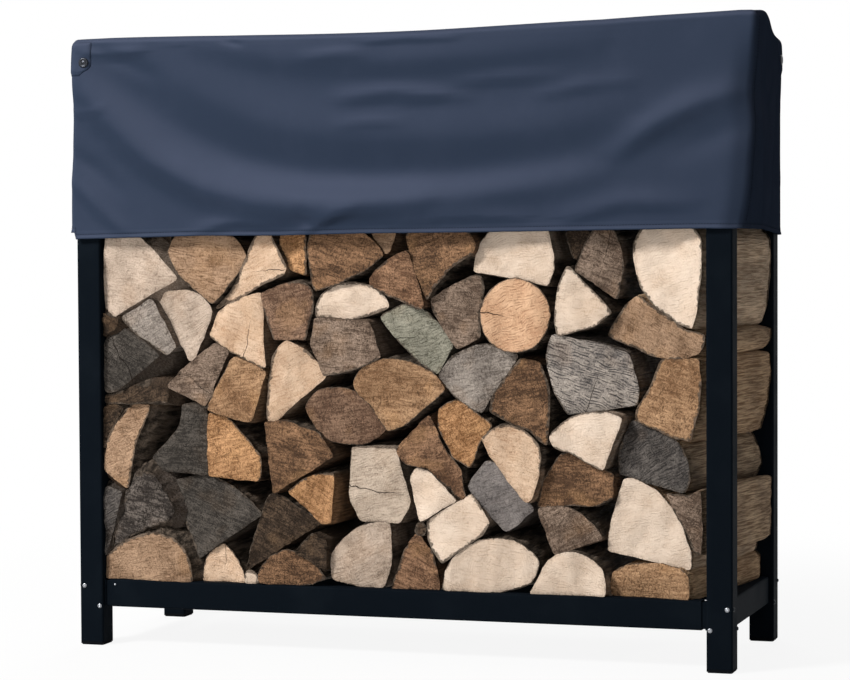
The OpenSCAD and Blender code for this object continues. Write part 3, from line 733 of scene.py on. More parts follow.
@dataclass
class SplitLog:
    """One split log, built on the solid that stands for it.

    Attributes:
        outline: Front outline, across and up, anticlockwise from the front.
        barked: For each side of the outline, 1 where it is bark.
        across: Direction to the right as seen from the front.
        along: Direction from the front end to the rear end.
        front: How far along the front end lies.
        length: Length of the log.
        finish: Its finish.
        seed: Number that its chance details come from.
        step: Spacing of points round the outline.
        cell: Spacing of points inside an end.
        edge: Radius of the worn edge round each end.
        softened: How many times the outline's corners are softened.
        plump: How far the outline is let out, to make up for its softened corners.
        belly: Largest swelling between the ends.
        wedged: Swelling of the logs beside the left post, towards their neighbours.
        beside_post: How far left a log reaches that lies beside that post.
        chip: Depth of the outline's small waves.
        uneven: Steepness of the broad waves across an end.
        lean: Largest slope of an end.
        taper: Largest share that the log narrows by towards its rear.
        rings: Number of cross sections.
    """

    outline: np.ndarray
    barked: np.ndarray
    across: np.ndarray
    along: np.ndarray
    front: float
    length: float
    finish: LogFinish
    seed: int
    step: float = 0.0048
    cell: float = 0.0068
    edge: float = 0.0015
    softened: int = 1
    plump: float = 0.0022
    belly: float = 0.0090
    wedged: float = 0.0520
    beside_post: float = -0.535
    chip: float = 0.0016
    uneven: float = 0.021
    lean: float = 0.09
    taper: float = 0.03
    rings: int = 24

    CHIP_WAVES = (3, 5, 7, 9, 12, 16, 21)
    END_WAVES = (9.0, 14.0, 23.0, 37.0)
    BARK_WIDTH = (0.35, 1.5)
    NO_BARK = 0.05
    TURNED = 0.02

    def resample(self) -> tuple[np.ndarray, np.ndarray]:
        """Returns evenly spaced, softened outline points, and the bark share at each."""
        points, bark = [], []
        for a, b, barked in zip(self.outline, np.roll(self.outline, -1, 0), self.barked):
            pieces = max(1, round(float(np.linalg.norm(b - a)) / self.step))
            points += [a + (b - a) * i / pieces for i in range(pieces)]
            bark += [barked] * pieces
        points, bark = np.array(points), np.array(bark, float)
        for _ in range(self.softened):
            middle = (np.roll(points, 1, 0) + np.roll(points, -1, 0)) / 2
            points = points + (middle - points) * 0.5
            bark = bark * 0.5 + (np.roll(bark, 1) + np.roll(bark, -1)) * 0.25
        return points - self.inward(points) * self.plump, bark

    def chipped(self, rim: np.ndarray, rng: np.random.Generator) -> np.ndarray:
        """Returns the outline with the small waves and chips of a rough split."""
        run = run_along(rim)
        around = run / (run[-1] + self.step) * 2 * math.pi
        depth = sum(rng.uniform(-1, 1) * np.cos(turns * around + rng.uniform(0, PHASES)) / turns ** 0.6
                    for turns in self.CHIP_WAVES)
        return rim + self.inward(rim) * (depth * self.chip)[:, None]

    @staticmethod
    def inward(points: np.ndarray) -> np.ndarray:
        """Returns the direction into the log at each point of an anticlockwise outline."""
        tangent = np.roll(points, -1, 0) - np.roll(points, 1, 0)
        normal = np.stack([-tangent[:, 1], tangent[:, 0]], 1)
        return normal / np.maximum(np.linalg.norm(normal, axis=1), TINY)[:, None]

    def inside(self, rim: np.ndarray, rng: np.random.Generator) -> np.ndarray:
        """Returns jittered points inside the rim, clear of it."""
        low, high = rim.min(0), rim.max(0)
        x, y = np.meshgrid(np.arange(low[0], high[0], self.cell), np.arange(low[1], high[1], self.cell))
        grid = np.stack([x.ravel(), y.ravel()], 1)
        grid += rng.uniform(-0.3, 0.3, grid.shape) * self.cell
        a, b = rim, np.roll(rim, -1, 0)
        spans = (a[None, :, 1] > grid[:, None, 1]) != (b[None, :, 1] > grid[:, None, 1])
        rise = np.where(np.abs(b[:, 1] - a[:, 1]) < TINY, TINY, b[:, 1] - a[:, 1])
        hit = a[None, :, 0] + (grid[:, None, 1] - a[None, :, 1]) * ((b - a)[None, :, 0] / rise[None])
        odd = (spans & (grid[:, None, 0] < hit)).sum(1) % 2 == 1
        return grid[odd & (apart(grid, rim).min(1) > self.cell * 0.8)]

    def cap(self, rim: np.ndarray, rng: np.random.Generator) -> tuple[np.ndarray, list, np.ndarray]:
        """Fills the outline with triangles.

        Args:
            rim: The outline.
            rng: Source of the log's chance details.

        Returns:
            The points across and up, the triangles, and the points' numbers round the rim.
        """
        count, inward = len(rim), self.inward(rim)
        loops = [rim, rim + inward * 0.35 * self.edge, rim + inward * self.edge]
        flat = np.concatenate(loops + [self.inside(rim, rng)])
        border = [(i, (i + 1) % count) for i in range(count)]
        cut = delaunay_2d_cdt([Vector(p) for p in flat], border, [], 1, 1e-7)
        plane = np.array([tuple(v) for v in cut[0]])
        source = {old: new for new, olds in enumerate(cut[3]) for old in olds}
        faces = [list(f) if self.turns(plane[list(f)]) > 0 else list(f)[::-1] for f in cut[2]]
        return plane, faces, np.array([source[i] for i in range(count)])

    def build(self) -> tuple[np.ndarray, list, dict]:
        """Builds the log.

        Returns:
            Its points, its faces, and the values that the finish reads at each point.
        """
        rng = np.random.default_rng(self.seed)
        rim, bark = self.resample()
        rim = self.chipped(rim, rng)
        plane, faces, rim_ids = self.cap(rim, rng)
        near = apart(plane, rim)
        brink = near.min(1)
        bark_gap = np.where(bark[None] > 0.5, near, 1.0).min(1) / rng.uniform(*self.BARK_WIDTH)
        centre, count, total = rim.mean(0), len(rim), len(plane)
        tilts = [rng.uniform(-self.lean, self.lean, 2) for _ in range(2)]
        near_end = self.ends(plane, brink, tilts[0], centre, rng)
        far_end = self.length - self.ends(plane, brink, tilts[1], centre, rng)
        girth = self.wedged if self.outline[:, 0].min() < self.beside_post else self.belly
        swell, taper = rng.uniform(0.5, 1.0) * girth, rng.uniform(0.0, self.taper)

        flats, depths = [plane, centre + (plane - centre) * (1 - taper)], [near_end, far_end]
        for share in np.linspace(0, 1, self.rings + 1)[1:-1]:
            bulge = swell * math.sin(math.pi * share) ** 0.4
            band = centre + (rim - self.inward(rim) * bulge - centre) * (1 - taper * share)
            flats.append(np.maximum(band, self.outline.min(0) - 0.5 * self.belly))
            depths.append(near_end[rim_ids] * (1 - share) + far_end[rim_ids] * share)
        flat, depth = np.concatenate(flats), np.concatenate(depths)
        points = flat[:, :1] * self.across + flat[:, 1:] * UP + (self.front + depth)[:, None] * self.along

        between = self.rings - 1
        middle = (2 * total + j * count + np.arange(count) for j in range(between))
        bands = [rim_ids, *middle, total + rim_ids]
        faces = faces + [[total + i for i in f[::-1]] for f in faces]
        following = (np.arange(count) + 1) % count
        for this, after in zip(bands, bands[1:]):
            faces += np.stack([this, after, after[following], this[following]], 1).tolist()

        def spread(cap: np.ndarray, band: np.ndarray) -> np.ndarray:
            """Joins the values of both ends with those of each cross section between them."""
            return np.concatenate([cap, cap, np.tile(band, between)])

        is_end, is_bark = np.ones(total), np.zeros(total)
        is_end[rim_ids], is_bark[rim_ids] = 0, bark
        none = np.zeros(count)
        values = self.values(rng, flat, depth, rim, bark)
        values["mask"] = np.stack([spread(is_end, none), spread(is_bark, bark),
                                   spread(bark_gap, np.where(bark > 0.5, 0.0, self.NO_BARK))], 1)
        # Turned logs are marked here, and the finish draws their sides as lit.
        kinds = (abs(self.along[0]) > self.TURNED, self.finish.ragged)
        fresh, torn = (np.full(len(points), float(kind)) for kind in kinds)
        values["sides"] = np.stack([spread(brink, none), fresh, torn], 1)
        return points, faces, values

    @staticmethod
    def turns(corners: np.ndarray) -> float:
        """Returns twice the area that a flat face turns round, above 0 if anticlockwise."""
        a, b, c = corners[0], corners[1], corners[2]
        return float((b[0] - a[0]) * (c[1] - a[1]) - (b[1] - a[1]) * (c[0] - a[0]))

    def ends(self, plane: np.ndarray, brink: np.ndarray, tilt: np.ndarray, centre: np.ndarray,
             rng: np.random.Generator) -> np.ndarray:
        """Shapes an end.

        Args:
            plane: Its points across and up.
            brink: How far each point lies from the rim.
            tilt: Slope of the end, across and up.
            centre: Middle of the outline.
            rng: Source of the log's chance details.

        Returns:
            How far each point lies behind the end's foremost plane.
        """
        lean = (plane - centre) @ tilt
        for waves in self.END_WAVES:
            way = rng.uniform(0, 2 * math.pi)
            run = plane @ np.array([math.cos(way), math.sin(way)])
            phase = run * waves * 2 * math.pi + rng.uniform(0, PHASES)
            lean = lean + self.uneven / waves * np.cos(phase)
        inner = 1 - np.clip(brink / self.edge, 0, 1)
        return lean - lean.min() + self.edge * (1 - np.sqrt(np.clip(1 - inner * inner, 0, 1)))

    def values(self, rng: np.random.Generator, plane: np.ndarray, depth: np.ndarray, rim: np.ndarray,
               bark: np.ndarray) -> dict:
        """Works out what the finish reads at each point.

        Args:
            rng: Source of the log's chance details.
            plane: Places across and up.
            depth: Places along the log.
            rim: Outline of the front end.
            bark: Bark share round the outline.

        Returns:
            Arrays by the names that the material uses.
        """
        finish, centre, weight = self.finish, rim.mean(0), bark.sum()
        span = float(np.linalg.norm(rim.max(0) - rim.min(0)))
        if weight < 3:
            pith = centre + rng.uniform(-0.5, 0.5, 2) * span
        elif weight > 0.85 * len(bark):
            pith = centre + rng.uniform(-0.08, 0.08, 2) * span
        else:
            pith = centre + (centre - (rim * bark[:, None]).sum(0) / weight) * 1.15
        aim = centre - pith if np.linalg.norm(centre - pith) > 0.01 else np.array([-1.0, 0.1])
        turn = math.atan2(aim[1], aim[0]) + rng.uniform(-0.35, 0.35)
        way = np.array([math.cos(turn), math.sin(turn)])
        reach = (plane - pith) @ way
        offset = (plane - pith) @ np.array([-way[1], way[0]])
        slope = rng.uniform(-0.5, 0.5)
        c, s = math.cos(slope), math.sin(slope)
        grain = np.stack([plane[:, 0] * c + plane[:, 1] * s, plane[:, 1] * c - plane[:, 0] * s, depth], 1)
        grain = grain + rng.uniform(-4, 4, 3)
        light = rng.uniform(0.90, 1.06)
        check = finish.check or max(0.0, rng.uniform(-0.0060, 0.0011))

        def even(*row: float) -> np.ndarray:
            """Repeats one row for every point."""
            return np.tile(np.array(row, float), (len(plane), 1))

        return {
            "grain": grain,
            "figure": np.stack([np.linalg.norm(plane - pith, axis=1), offset, reach / span], 1),
            "traits": even(finish.saw, finish.grain, check),
            "face": even(*(light * c for c in finish.face), 1.0),
            "vein": even(*(light * c for c in finish.vein), 1.0),
        }


@dataclass
class LogRow:
    """One row of the stack.

    Attributes:
        node: The solid that it replaces.
        finishes: Finish of each log, from left to right.
        seed: First of the row's seeds.
    """

    node: str
    finishes: list[Wood]
    seed: int

    BARK_TURNS = (math.radians(5.5), math.radians(34))

    def prisms(self) -> list[dict]:
        """Reads the plain logs of the row from its solid.

        Returns:
            For each log, from left to right, what SplitLog needs to know of its shape.
        """
        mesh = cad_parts[self.node].data
        mesh.calc_loop_triangles()
        places = np.array([v.co for v in mesh.vertices])
        keys: dict[tuple, int] = {}
        ids = np.array([keys.setdefault(tuple(np.round(p, 5)), len(keys)) for p in places])
        corners = np.array(list(keys))
        triangles = ids[np.array([t.vertices[:] for t in mesh.loop_triangles])]
        parent = list(range(len(corners)))

        def head(i: int) -> int:
            """Finds the first point of the log that a point belongs to."""
            while parent[i] != i:
                parent[i] = parent[parent[i]]
                i = parent[i]
            return i

        for a, b, c in triangles:
            parent[head(a)] = head(b)
            parent[head(b)] = head(c)
        owner = np.array([head(t[0]) for t in triangles])
        found = [self.shape(corners, triangles[owner == o]) for o in np.unique(owner)]
        return sorted(found, key=lambda s: (s["outline"][:, 0].min() + s["outline"][:, 0].max()))

    @staticmethod
    def shape(corners: np.ndarray, triangles: np.ndarray) -> dict:
        """Reads one plain log.

        Args:
            corners: Places of all points of the row.
            triangles: The log's faces.

        Returns:
            Its outline, bark sides, directions, front and length.
        """
        a, b, c = (corners[triangles[:, k]] for k in range(3))
        normals = np.cross(b - a, c - a)
        normals /= np.maximum(np.linalg.norm(normals, axis=1), 1e-12)[:, None]
        cap = triangles[normals[:, 1] < -0.9]
        along = -normals[normals[:, 1] < -0.9].mean(0)
        along /= np.linalg.norm(along)
        across = np.cross(along, UP)
        edges = {(int(t[k]), int(t[(k + 1) % 3])) for t in cap for k in range(3)}
        following = {p: q for p, q in edges if (q, p) not in edges}
        ring = [next(iter(sorted(following)))]
        while following[ring[-1]] != ring[0]:
            ring.append(following[ring[-1]])
        rim = corners[ring]
        outline = np.stack([rim @ across, rim[:, 2]], 1)
        sides = np.roll(outline, -1, 0) - outline
        angle = np.arctan2(sides[:, 1], sides[:, 0])
        turn = np.abs((angle - np.roll(angle, 1) + math.pi) % (2 * math.pi) - math.pi)
        gentle = (turn > LogRow.BARK_TURNS[0]) & (turn < LogRow.BARK_TURNS[1])
        barked = (gentle | np.roll(gentle, -1)).astype(float)
        depths = corners[np.unique(triangles)] @ along
        return {"outline": outline, "barked": barked, "across": across, "along": along,
                "front": float(depths.min()), "length": float(np.ptp(depths))}

    def build(self, roughening: Roughening, finish: bpy.types.Material) -> bpy.types.Object:
        """Builds the row.

        Args:
            roughening: The tree that wears the logs.
            finish: The logs' material.

        Returns:
            The finished object, riding on the rack.
        """
        points, faces, values, first = [], [], [], 0
        for k, (shape, wood) in enumerate(zip(self.prisms(), self.finishes, strict=True)):
            spots, rings, carried = SplitLog(finish=wood.value, seed=self.seed + k, **shape).build()
            points.append(spots)
            faces += [[i + first for i in ring] for ring in rings]
            values.append(carried)
            first += len(spots)
        obj = new_object(self.node.replace("log_row", "split_logs"), np.concatenate(points), faces)
        for name in values[0]:
            put_values(obj, name, np.concatenate([carried[name] for carried in values]))
        roughening.apply(obj, Finish=finish)
        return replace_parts(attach(obj, ROOT), self.node)


class Setting(MeshTree):
    """Sets a small shape on each point of a mesh."""

    def __init__(self) -> None:
        """Builds the tree."""
        super().__init__("Set on points", {"Shape": "NodeSocketObject", "Size": 1.0})
        n, given = self.nodes, self.given
        shape = n.add("GeometryNodeObjectInfo", {"Object": given["Shape"]}, transform_space="ORIGINAL")
        axes = {"Primary Axis": self.named("out"), "Secondary Axis": self.named("way")}
        turn = n.add("FunctionNodeAxesToRotation", axes, primary_axis="Z", secondary_axis="X").outputs[0]
        placed = n.add("GeometryNodeInstanceOnPoints", {
            "Points": given["Geometry"], "Instance": shape.outputs["Geometry"], "Rotation": turn,
            "Scale": given["Size"]})
        self.close(placed.outputs[0])

    def scatter(self, name: str, shape: bpy.types.Object, finish: bpy.types.Material, points: np.ndarray,
                out: np.ndarray, way: np.ndarray, size: float = 1.0) -> bpy.types.Object:
        """Sets a shape on points and makes it a plain mesh.

        Args:
            name: Name of the piece.
            shape: What is set, with its foot at the origin and its head up Z.
            finish: Its material.
            points: Where each one stands.
            out: Where each one's head points.
            way: Where each one's X axis points.
            size: Scale of each one.

        Returns:
            The finished object, riding on the rack.
        """
        obj = new_object(name, points, [])
        put_values(obj, "out", out)
        put_values(obj, "way", way)
        self.apply(obj, Shape=shape, Size=size, Finish=finish)
        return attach(obj, ROOT)


def revolved(name: str, profile: Sequence[tuple[float, float]], sides: int = 24,
             swell: Callable[[int, float], float] = lambda ring, angle: 1.0) -> bpy.types.Object:
    """Makes a round shape from its profile.

    Args:
        name: Name of the object.
        profile: Radius and height of each ring in millimetres, from the foot outwards and up to the middle.
        sides: Number of points round each ring.
        swell: Scale of a ring's radius by its number and angle.

    Returns:
        The object, closed at its top.
    """
    angles = [2 * math.pi * i / sides for i in range(sides)]
    points = [(r * MM * swell(j, a) * math.cos(a), r * MM * swell(j, a) * math.sin(a), z * MM)
              for j, (r, z) in enumerate(profile) for a in angles]
    points.append((0.0, 0.0, profile[-1][1] * MM))
    last = (len(profile) - 1) * sides
    faces = [(j + i, j + (i + 1) % sides, j + sides + (i + 1) % sides, j + sides + i)
             for j in range(0, last, sides) for i in range(sides)]
    faces += [(last + i, last + (i + 1) % sides, len(points) - 1) for i in range(sides)]
    return new_object(name, np.array(points), faces)


@dataclass
class Fasteners:
    """The bolts on the posts and the small screws on the rails.

    Attributes:
        post_x, post_y: Half the rack's length and depth over the posts.
        reach: How far the upper bolt of a post face lies from the post's outer edge.
        inner: How far the lower bolt lies from that edge.
        upper, lower: Heights of the two bolts.
        rail_in: How far each rail screw lies inside the post's outer face.
        rail_z: Height of the rail screws.
        rail_front: Front face of the front rail, from the middle.
        bolt, screw: Scales of the bolts and of the screws.
    """

    post_x: float = 0.600
    post_y: float = 0.210
    reach: float = 0.009
    inner: float = 0.0385
    upper: float = 0.1075
    lower: float = 0.0715
    rail_in: float = 0.066
    rail_z: float = 0.1105
    rail_front: float = 0.2025
    bolt: float = 0.62
    screw: float = 0.30

    PROFILE = ((6.4, 0.0), (6.4, 0.7), (6.1, 0.9), (5.0, 0.9), (5.0, 1.6), (4.7, 2.9), (3.9, 3.7), (2.7, 4.0),
               (2.4, 3.7), (2.4, 2.2), (1.2, 2.1))
    RECESS = (8, 9)

    def head(self) -> bpy.types.Object:
        """Returns a washered bolt head with a six-sided recess."""

        def hexed(ring: int, angle: float) -> float:
            """Draws the recess's rings to a hexagon."""
            part = (angle % (math.pi / 3)) - math.pi / 6
            return math.cos(math.pi / 6) / math.cos(part) if ring in self.RECESS else 1.0

        return revolved("bolt_head", self.PROFILE, swell=hexed)

    def spots(self, at_ends: bool) -> list[tuple]:
        """Lists the bolts of the long sides or of the ends.

        Args:
            at_ends: Whether they are those of the ends.

        Returns:
            Each bolt's place, where it points, and a direction across it.
        """
        found = []
        for sx in (-1, 1):
            for sy in (-1, 1):
                for side, z in ((self.reach, self.upper), (self.inner, self.lower)):
                    if at_ends:
                        place, out, way = (self.post_x, self.post_y - side), (sx, 0, 0), (0, 1, 0)
                    else:
                        place, out, way = (self.post_x - side, self.post_y), (0, sy, 0), (1, 0, 0)
                    found.append(((sx * place[0], sy * place[1], z), out, way))
        return found

    def build(self, setting: Setting) -> list[bpy.types.Object]:
        """Builds the bolts and the screws.

        Args:
            setting: The tree that sets them.

        Returns:
            The finished objects.
        """
        zinc = ZINC.make()
        shape = self.head()
        rails = [((s * (self.post_x - self.rail_in), s * self.rail_front, self.rail_z), (0, s, 0), (1, 0, 0))
                 for s in (-1, 1)]
        sets = (("post_bolts", zinc, self.spots(False), self.bolt),
                ("end_bolts", BLACKED.make(), self.spots(True), self.bolt),
                ("rail_screws", zinc, rails, self.screw))
        made = [setting.scatter(name, shape, finish, *(np.array(v, float) for v in zip(*spots)), size)
                for name, finish, spots, size in sets]
        bpy.data.objects.remove(shape)
        return [obj for obj in made]


@dataclass(frozen=True)
class Fold:
    """A soft fold in a panel of the cover.

    Attributes:
        path: Points of its crest, as shares of the panel's width and height.
        width: Half width, in metres.
        rise: Height of the crest, in metres, below 0 for a valley.
        crisp: Half width below the crest, as a share of that above it.
    """

    path: tuple[tuple[float, float], ...]
    width: float
    rise: float
    crisp: float = 0.55

    def height(self, u: np.ndarray, v: np.ndarray, size: tuple[float, float]) -> np.ndarray:
        """Works out the fold's height over a panel.

        Args:
            u, v: Shares of the panel's width and height.
            size: Width and height of the panel, in metres.

        Returns:
            The height at each place.
        """
        keys = np.array(self.path)
        spots = np.linspace(0, len(keys) - 1, 12 * (len(keys) - 1) + 1)
        line = eased(np.stack([np.interp(spots, range(len(keys)), keys[:, k]) for k in range(2)], 1), 10)
        fade = np.sin(np.pi * np.linspace(0.06, 0.94, len(line))) ** 0.7
        span = (np.stack([u, v], 1)[:, None] - line[None]) * np.array(size)
        width = self.width * np.where(span[:, :, 1] < 0, self.crisp, 1.0)
        bell = np.exp(-(span ** 2).sum(2) / width ** 2) * fade[None]
        return self.rise * bell.max(1)


FRONT_FOLDS = (
    Fold(((0.00, 0.84), (0.03, 0.70), (0.08, 0.53), (0.13, 0.37), (0.205, 0.235), (0.295, 0.15),
          (0.37, 0.115), (0.46, 0.12), (0.54, 0.145)), 0.037, 0.0145, 0.60),
    Fold(((0.30, 0.20), (0.40, 0.16), (0.50, 0.15), (0.60, 0.17), (0.70, 0.215), (0.80, 0.275)),
         0.034, 0.0080, 0.70),
    Fold(((0.05, 0.84), (0.10, 0.72), (0.18, 0.53), (0.27, 0.385), (0.38, 0.30), (0.50, 0.28), (0.62, 0.295),
          (0.74, 0.345), (0.83, 0.42)), 0.030, -0.0062, 1.0),
    Fold(((0.10, 0.94), (0.16, 0.82), (0.23, 0.68), (0.30, 0.57), (0.40, 0.50), (0.52, 0.48), (0.64, 0.49),
          (0.74, 0.52), (0.83, 0.60)), 0.050, 0.0066, 0.60),
    Fold(((0.83, 0.37), (0.88, 0.49), (0.93, 0.59), (0.98, 0.66)), 0.026, 0.0098, 0.60),
    Fold(((0.91, 0.38), (0.955, 0.46), (0.99, 0.52)), 0.024, -0.0040, 1.0),
    Fold(((0.20, 0.95), (0.34, 0.87), (0.50, 0.84), (0.66, 0.86), (0.80, 0.90)), 0.034, 0.0060, 0.60),
    Fold(((0.42, 0.665), (0.50, 0.69), (0.58, 0.68)), 0.017, 0.0062),
    Fold(((0.37, 0.865), (0.42, 0.885), (0.46, 0.88)), 0.013, 0.0036),
    Fold(((0.52, 0.65), (0.57, 0.665), (0.62, 0.66)), 0.011, 0.0032),
    Fold(((0.60, 0.73), (0.67, 0.75), (0.75, 0.755)), 0.013, 0.0036),
    Fold(((0.42, 0.53), (0.47, 0.545), (0.52, 0.54)), 0.010, 0.0026),
    Fold(((0.46, 0.945), (0.52, 0.955), (0.60, 0.95)), 0.012, 0.0030),
    Fold(((0.72, 0.66), (0.78, 0.70), (0.86, 0.72)), 0.014, 0.0032),
    Fold(((0.02, 0.93), (0.07, 0.915), (0.12, 0.93)), 0.012, 0.0042),
    Fold(((0.03, 0.96), (0.08, 0.89), (0.14, 0.80)), 0.013, -0.0040, 1.0),
    Fold(((0.00, 0.28), (0.03, 0.20), (0.06, 0.10), (0.09, 0.02)), 0.016, 0.0045),
    Fold(((0.00, 0.42), (0.04, 0.34), (0.08, 0.22)), 0.014, -0.0036, 1.0),
    Fold(((0.20, 0.02), (0.26, 0.07), (0.33, 0.05)), 0.016, 0.0042),
    Fold(((0.37, 0.01), (0.405, 0.07), (0.45, 0.12)), 0.014, 0.0060),
    Fold(((0.36, 0.10), (0.395, 0.03)), 0.011, -0.0040, 1.0),
    Fold(((0.50, 0.05), (0.60, 0.08), (0.70, 0.07)), 0.018, 0.0042),
    Fold(((0.76, 0.06), (0.84, 0.13), (0.93, 0.12)), 0.022, 0.0046),
    Fold(((0.00, 0.63), (0.03, 0.61), (0.06, 0.65)), 0.007, 0.0024),
    Fold(((0.24, 0.99), (0.275, 0.95)), 0.006, -0.0026, 1.0),
)
SIDE_FOLDS = (
    Fold(((0.06, 0.92), (0.20, 0.66), (0.34, 0.36), (0.44, 0.05)), 0.030, 0.0060),
    Fold(((0.94, 0.90), (0.80, 0.62), (0.70, 0.30), (0.66, 0.02)), 0.028, 0.0055),
    Fold(((0.30, 0.95), (0.42, 0.72), (0.60, 0.66), (0.76, 0.80)), 0.022, 0.0030),
    Fold(((0.10, 0.30), (0.16, 0.14), (0.24, 0.02)), 0.016, -0.0035),
)


@dataclass
class Cover:
    """The fabric cover over the upper third.

    Attributes:
        half_x, half_y: Half its length and depth at mid thickness.
        hem: Height of the hem.
        top: Height of the top's edge.
        edge: Radius of its soft edges.
        crown: Rise of the top at mid depth.
        peak: Further rise of the crown at the right end.
        thick: Thickness of the cloth.
        drawn: How far the long and the short panels draw in at mid span.
        slack: Depth of the slack in the top.
        hem_band: Height of the doubled hem.
        hem_rise, hem_roll: How far the hem stands out, and its lowest edge beyond that.
        groove: Depth of the hem's stitch line.
        seam_y: Where the side seams lie, from the middle.
        seam_rise: How far the side seams stand out.
        cling: How far the rear right corner draws in.
        turned: How far the loose front right corner turns back.
        tuck: How far the front left corner draws in.
        pitch: Distance from stitch to stitch.
        tab_wide, tab_drop: Width and drop of a corner tab.
        snap_in, snap_drop: Where a snap lies in its tab.
    """

    half_x: float = 0.6085
    half_y: float = 0.2185
    hem: float = 0.743
    top: float = 1.0925
    edge: float = 0.010
    crown: float = 0.0135
    peak: float = 0.008
    thick: float = 0.0014
    drawn: tuple[float, float] = (0.0045, 0.004)
    slack: float = 0.0030
    hem_band: float = 0.010
    hem_rise: float = 0.0009
    hem_roll: float = 0.0010
    groove: float = 0.0008
    seam_y: float = -0.198
    seam_rise: float = 0.0011
    cling: float = 0.004
    turned: float = 0.012
    tuck: float = 0.006
    pitch: float = 0.0052
    tab_wide: float = 0.040
    tab_drop: float = 0.060
    snap_in: float = 0.026
    snap_drop: float = 0.037

    # In millimetres: heights by place along the front and the ends, how far the loose corner stands out by
    # height, and radius and height of a snap's rings; then the points across and down a tab
    FRONT_TOP = ((-0.612, 0.6), (-0.585, 1.4), (-0.531, 1.8), (-0.313, -0.4), (-0.16, 0.0), (0.067, 1.8),
                 (0.237, 4.5), (0.377, 7.0), (0.514, 13.0), (0.582, 16.5), (0.612, 16.0))
    FRONT_HEM = ((-0.612, -10.0), (-0.590, -7.5), (-0.354, -3.0), (-0.20, -3.2), (-0.053, -0.4), (0.12, 0.2),
                 (0.306, 2.0), (0.548, 4.5), (0.612, 3.5))
    SHOULDER = ((0.743, 6.0), (0.790, 17.0), (0.860, 22.0), (0.930, 28.0), (0.965, 20.0), (1.020, 28.0),
                (1.0925, 34.0))
    SIDE_HEM = ((-0.222, 4.0), (0.0, 3.5), (0.222, -6.0))
    SNAP = ((9.0, 0.0), (9.2, 0.9), (8.6, 1.9), (7.1, 2.4), (5.7, 2.1), (4.9, 1.3), (3.6, 1.4), (1.9, 2.1))
    TAB_GRID = (13, 19)

    @staticmethod
    def lines(length: float, fine: float, coarse: float, ends: float) -> np.ndarray:
        """Returns positions from 0 to length, closer together near both ends."""
        inner = np.linspace(ends, length - ends, max(2, round((length - 2 * ends) / coarse)) + 1)
        border = np.linspace(0, ends, round(ends / fine) + 1)[:-1]
        return np.concatenate([border, inner, (length - border)[::-1]])

    @staticmethod
    def read(where: np.ndarray, keys: Sequence[tuple[float, float]]) -> np.ndarray:
        """Returns the heights of a line of millimetres at given places, in metres."""
        return np.interp(where, *np.array(keys).T) * MM

    def place(self, sharp: np.ndarray) -> tuple[np.ndarray, np.ndarray]:
        """Drapes points of a plain box.

        Args:
            sharp: Points on the box that the cover would be with sharp edges and no folds.

        Returns:
            Where each point lies on the draped cloth, and where the cloth faces there.
        """
        x, y, z = sharp.T
        core = np.stack([np.clip(x, -self.half_x + self.edge, self.half_x - self.edge),
                         np.clip(y, -self.half_y + self.edge, self.half_y - self.edge),
                         np.minimum(z, self.top - self.edge)], 1)
        out = sharp - core
        out /= np.maximum(np.linalg.norm(out, axis=1), TINY)[:, None]
        points = core + out * self.edge
        tall = self.top - self.hem
        u, v = (x + self.half_x) / (2 * self.half_x), (z - self.hem) / tall
        w = (y + self.half_y) / (2 * self.half_y)
        face = {"front": np.maximum(0, -out[:, 1]), "rear": np.maximum(0, out[:, 1]),
                "left": np.maximum(0, -out[:, 0]), "right": np.maximum(0, out[:, 0]),
                "top": np.maximum(0, out[:, 2])}
        long, short = (2 * self.half_x, tall), (2 * self.half_y, tall)
        panels = (("front", FRONT_FOLDS, u, long, 1.0), ("rear", FRONT_FOLDS, 1 - u, long, 0.8),
                  ("right", SIDE_FOLDS, w, short, 1.0), ("left", SIDE_FOLDS, 1 - w, short, 0.9))
        push = sum(face[side] * self.folded(folds, run, v, size, face[side]) * share
                   for side, folds, run, size, share in panels)
        push = push + self.bellies(u, v, w, face) + self.sewing(y, z, face)
        points = points + out * push[:, None]
        points[:, 2] += self.lift(x, y, z)
        outward, back = self.shoulder(x, y, z)
        points[:, 0] += outward
        points[:, 1] += back
        return points, out

    @staticmethod
    def folded(folds: Iterable[Fold], u: np.ndarray, v: np.ndarray, size: tuple[float, float],
               weight: np.ndarray) -> np.ndarray:
        """Adds up a panel's folds where the panel is.

        Args:
            folds: The folds.
            u, v: Shares of the panel's width and height.
            size: Width and height of the panel.
            weight: How much of each place belongs to the panel.

        Returns:
            The height at each place.
        """
        total = np.zeros(len(u))
        there = weight > 0.05
        for fold in folds:
            total[there] += fold.height(u[there], v[there], size)
        return total

    def bellies(self, u: np.ndarray, v: np.ndarray, w: np.ndarray, face: dict) -> np.ndarray:
        """Draws the panels in between the posts, most at mid height, and slackens the top."""
        arch = np.clip(1 - (2 * v - 0.9) ** 2, 0, 1)
        long, short = (np.sin(np.pi * np.clip(share, 0, 1)) for share in (u, w))
        hang = self.drawn[0] * (long * arch) * (face["front"] + face["rear"])
        hang = hang + self.drawn[1] * (short * arch) * (face["left"] + face["right"])
        return self.slack * long * np.sin(7.3 * u + 1.1) * face["top"] - hang

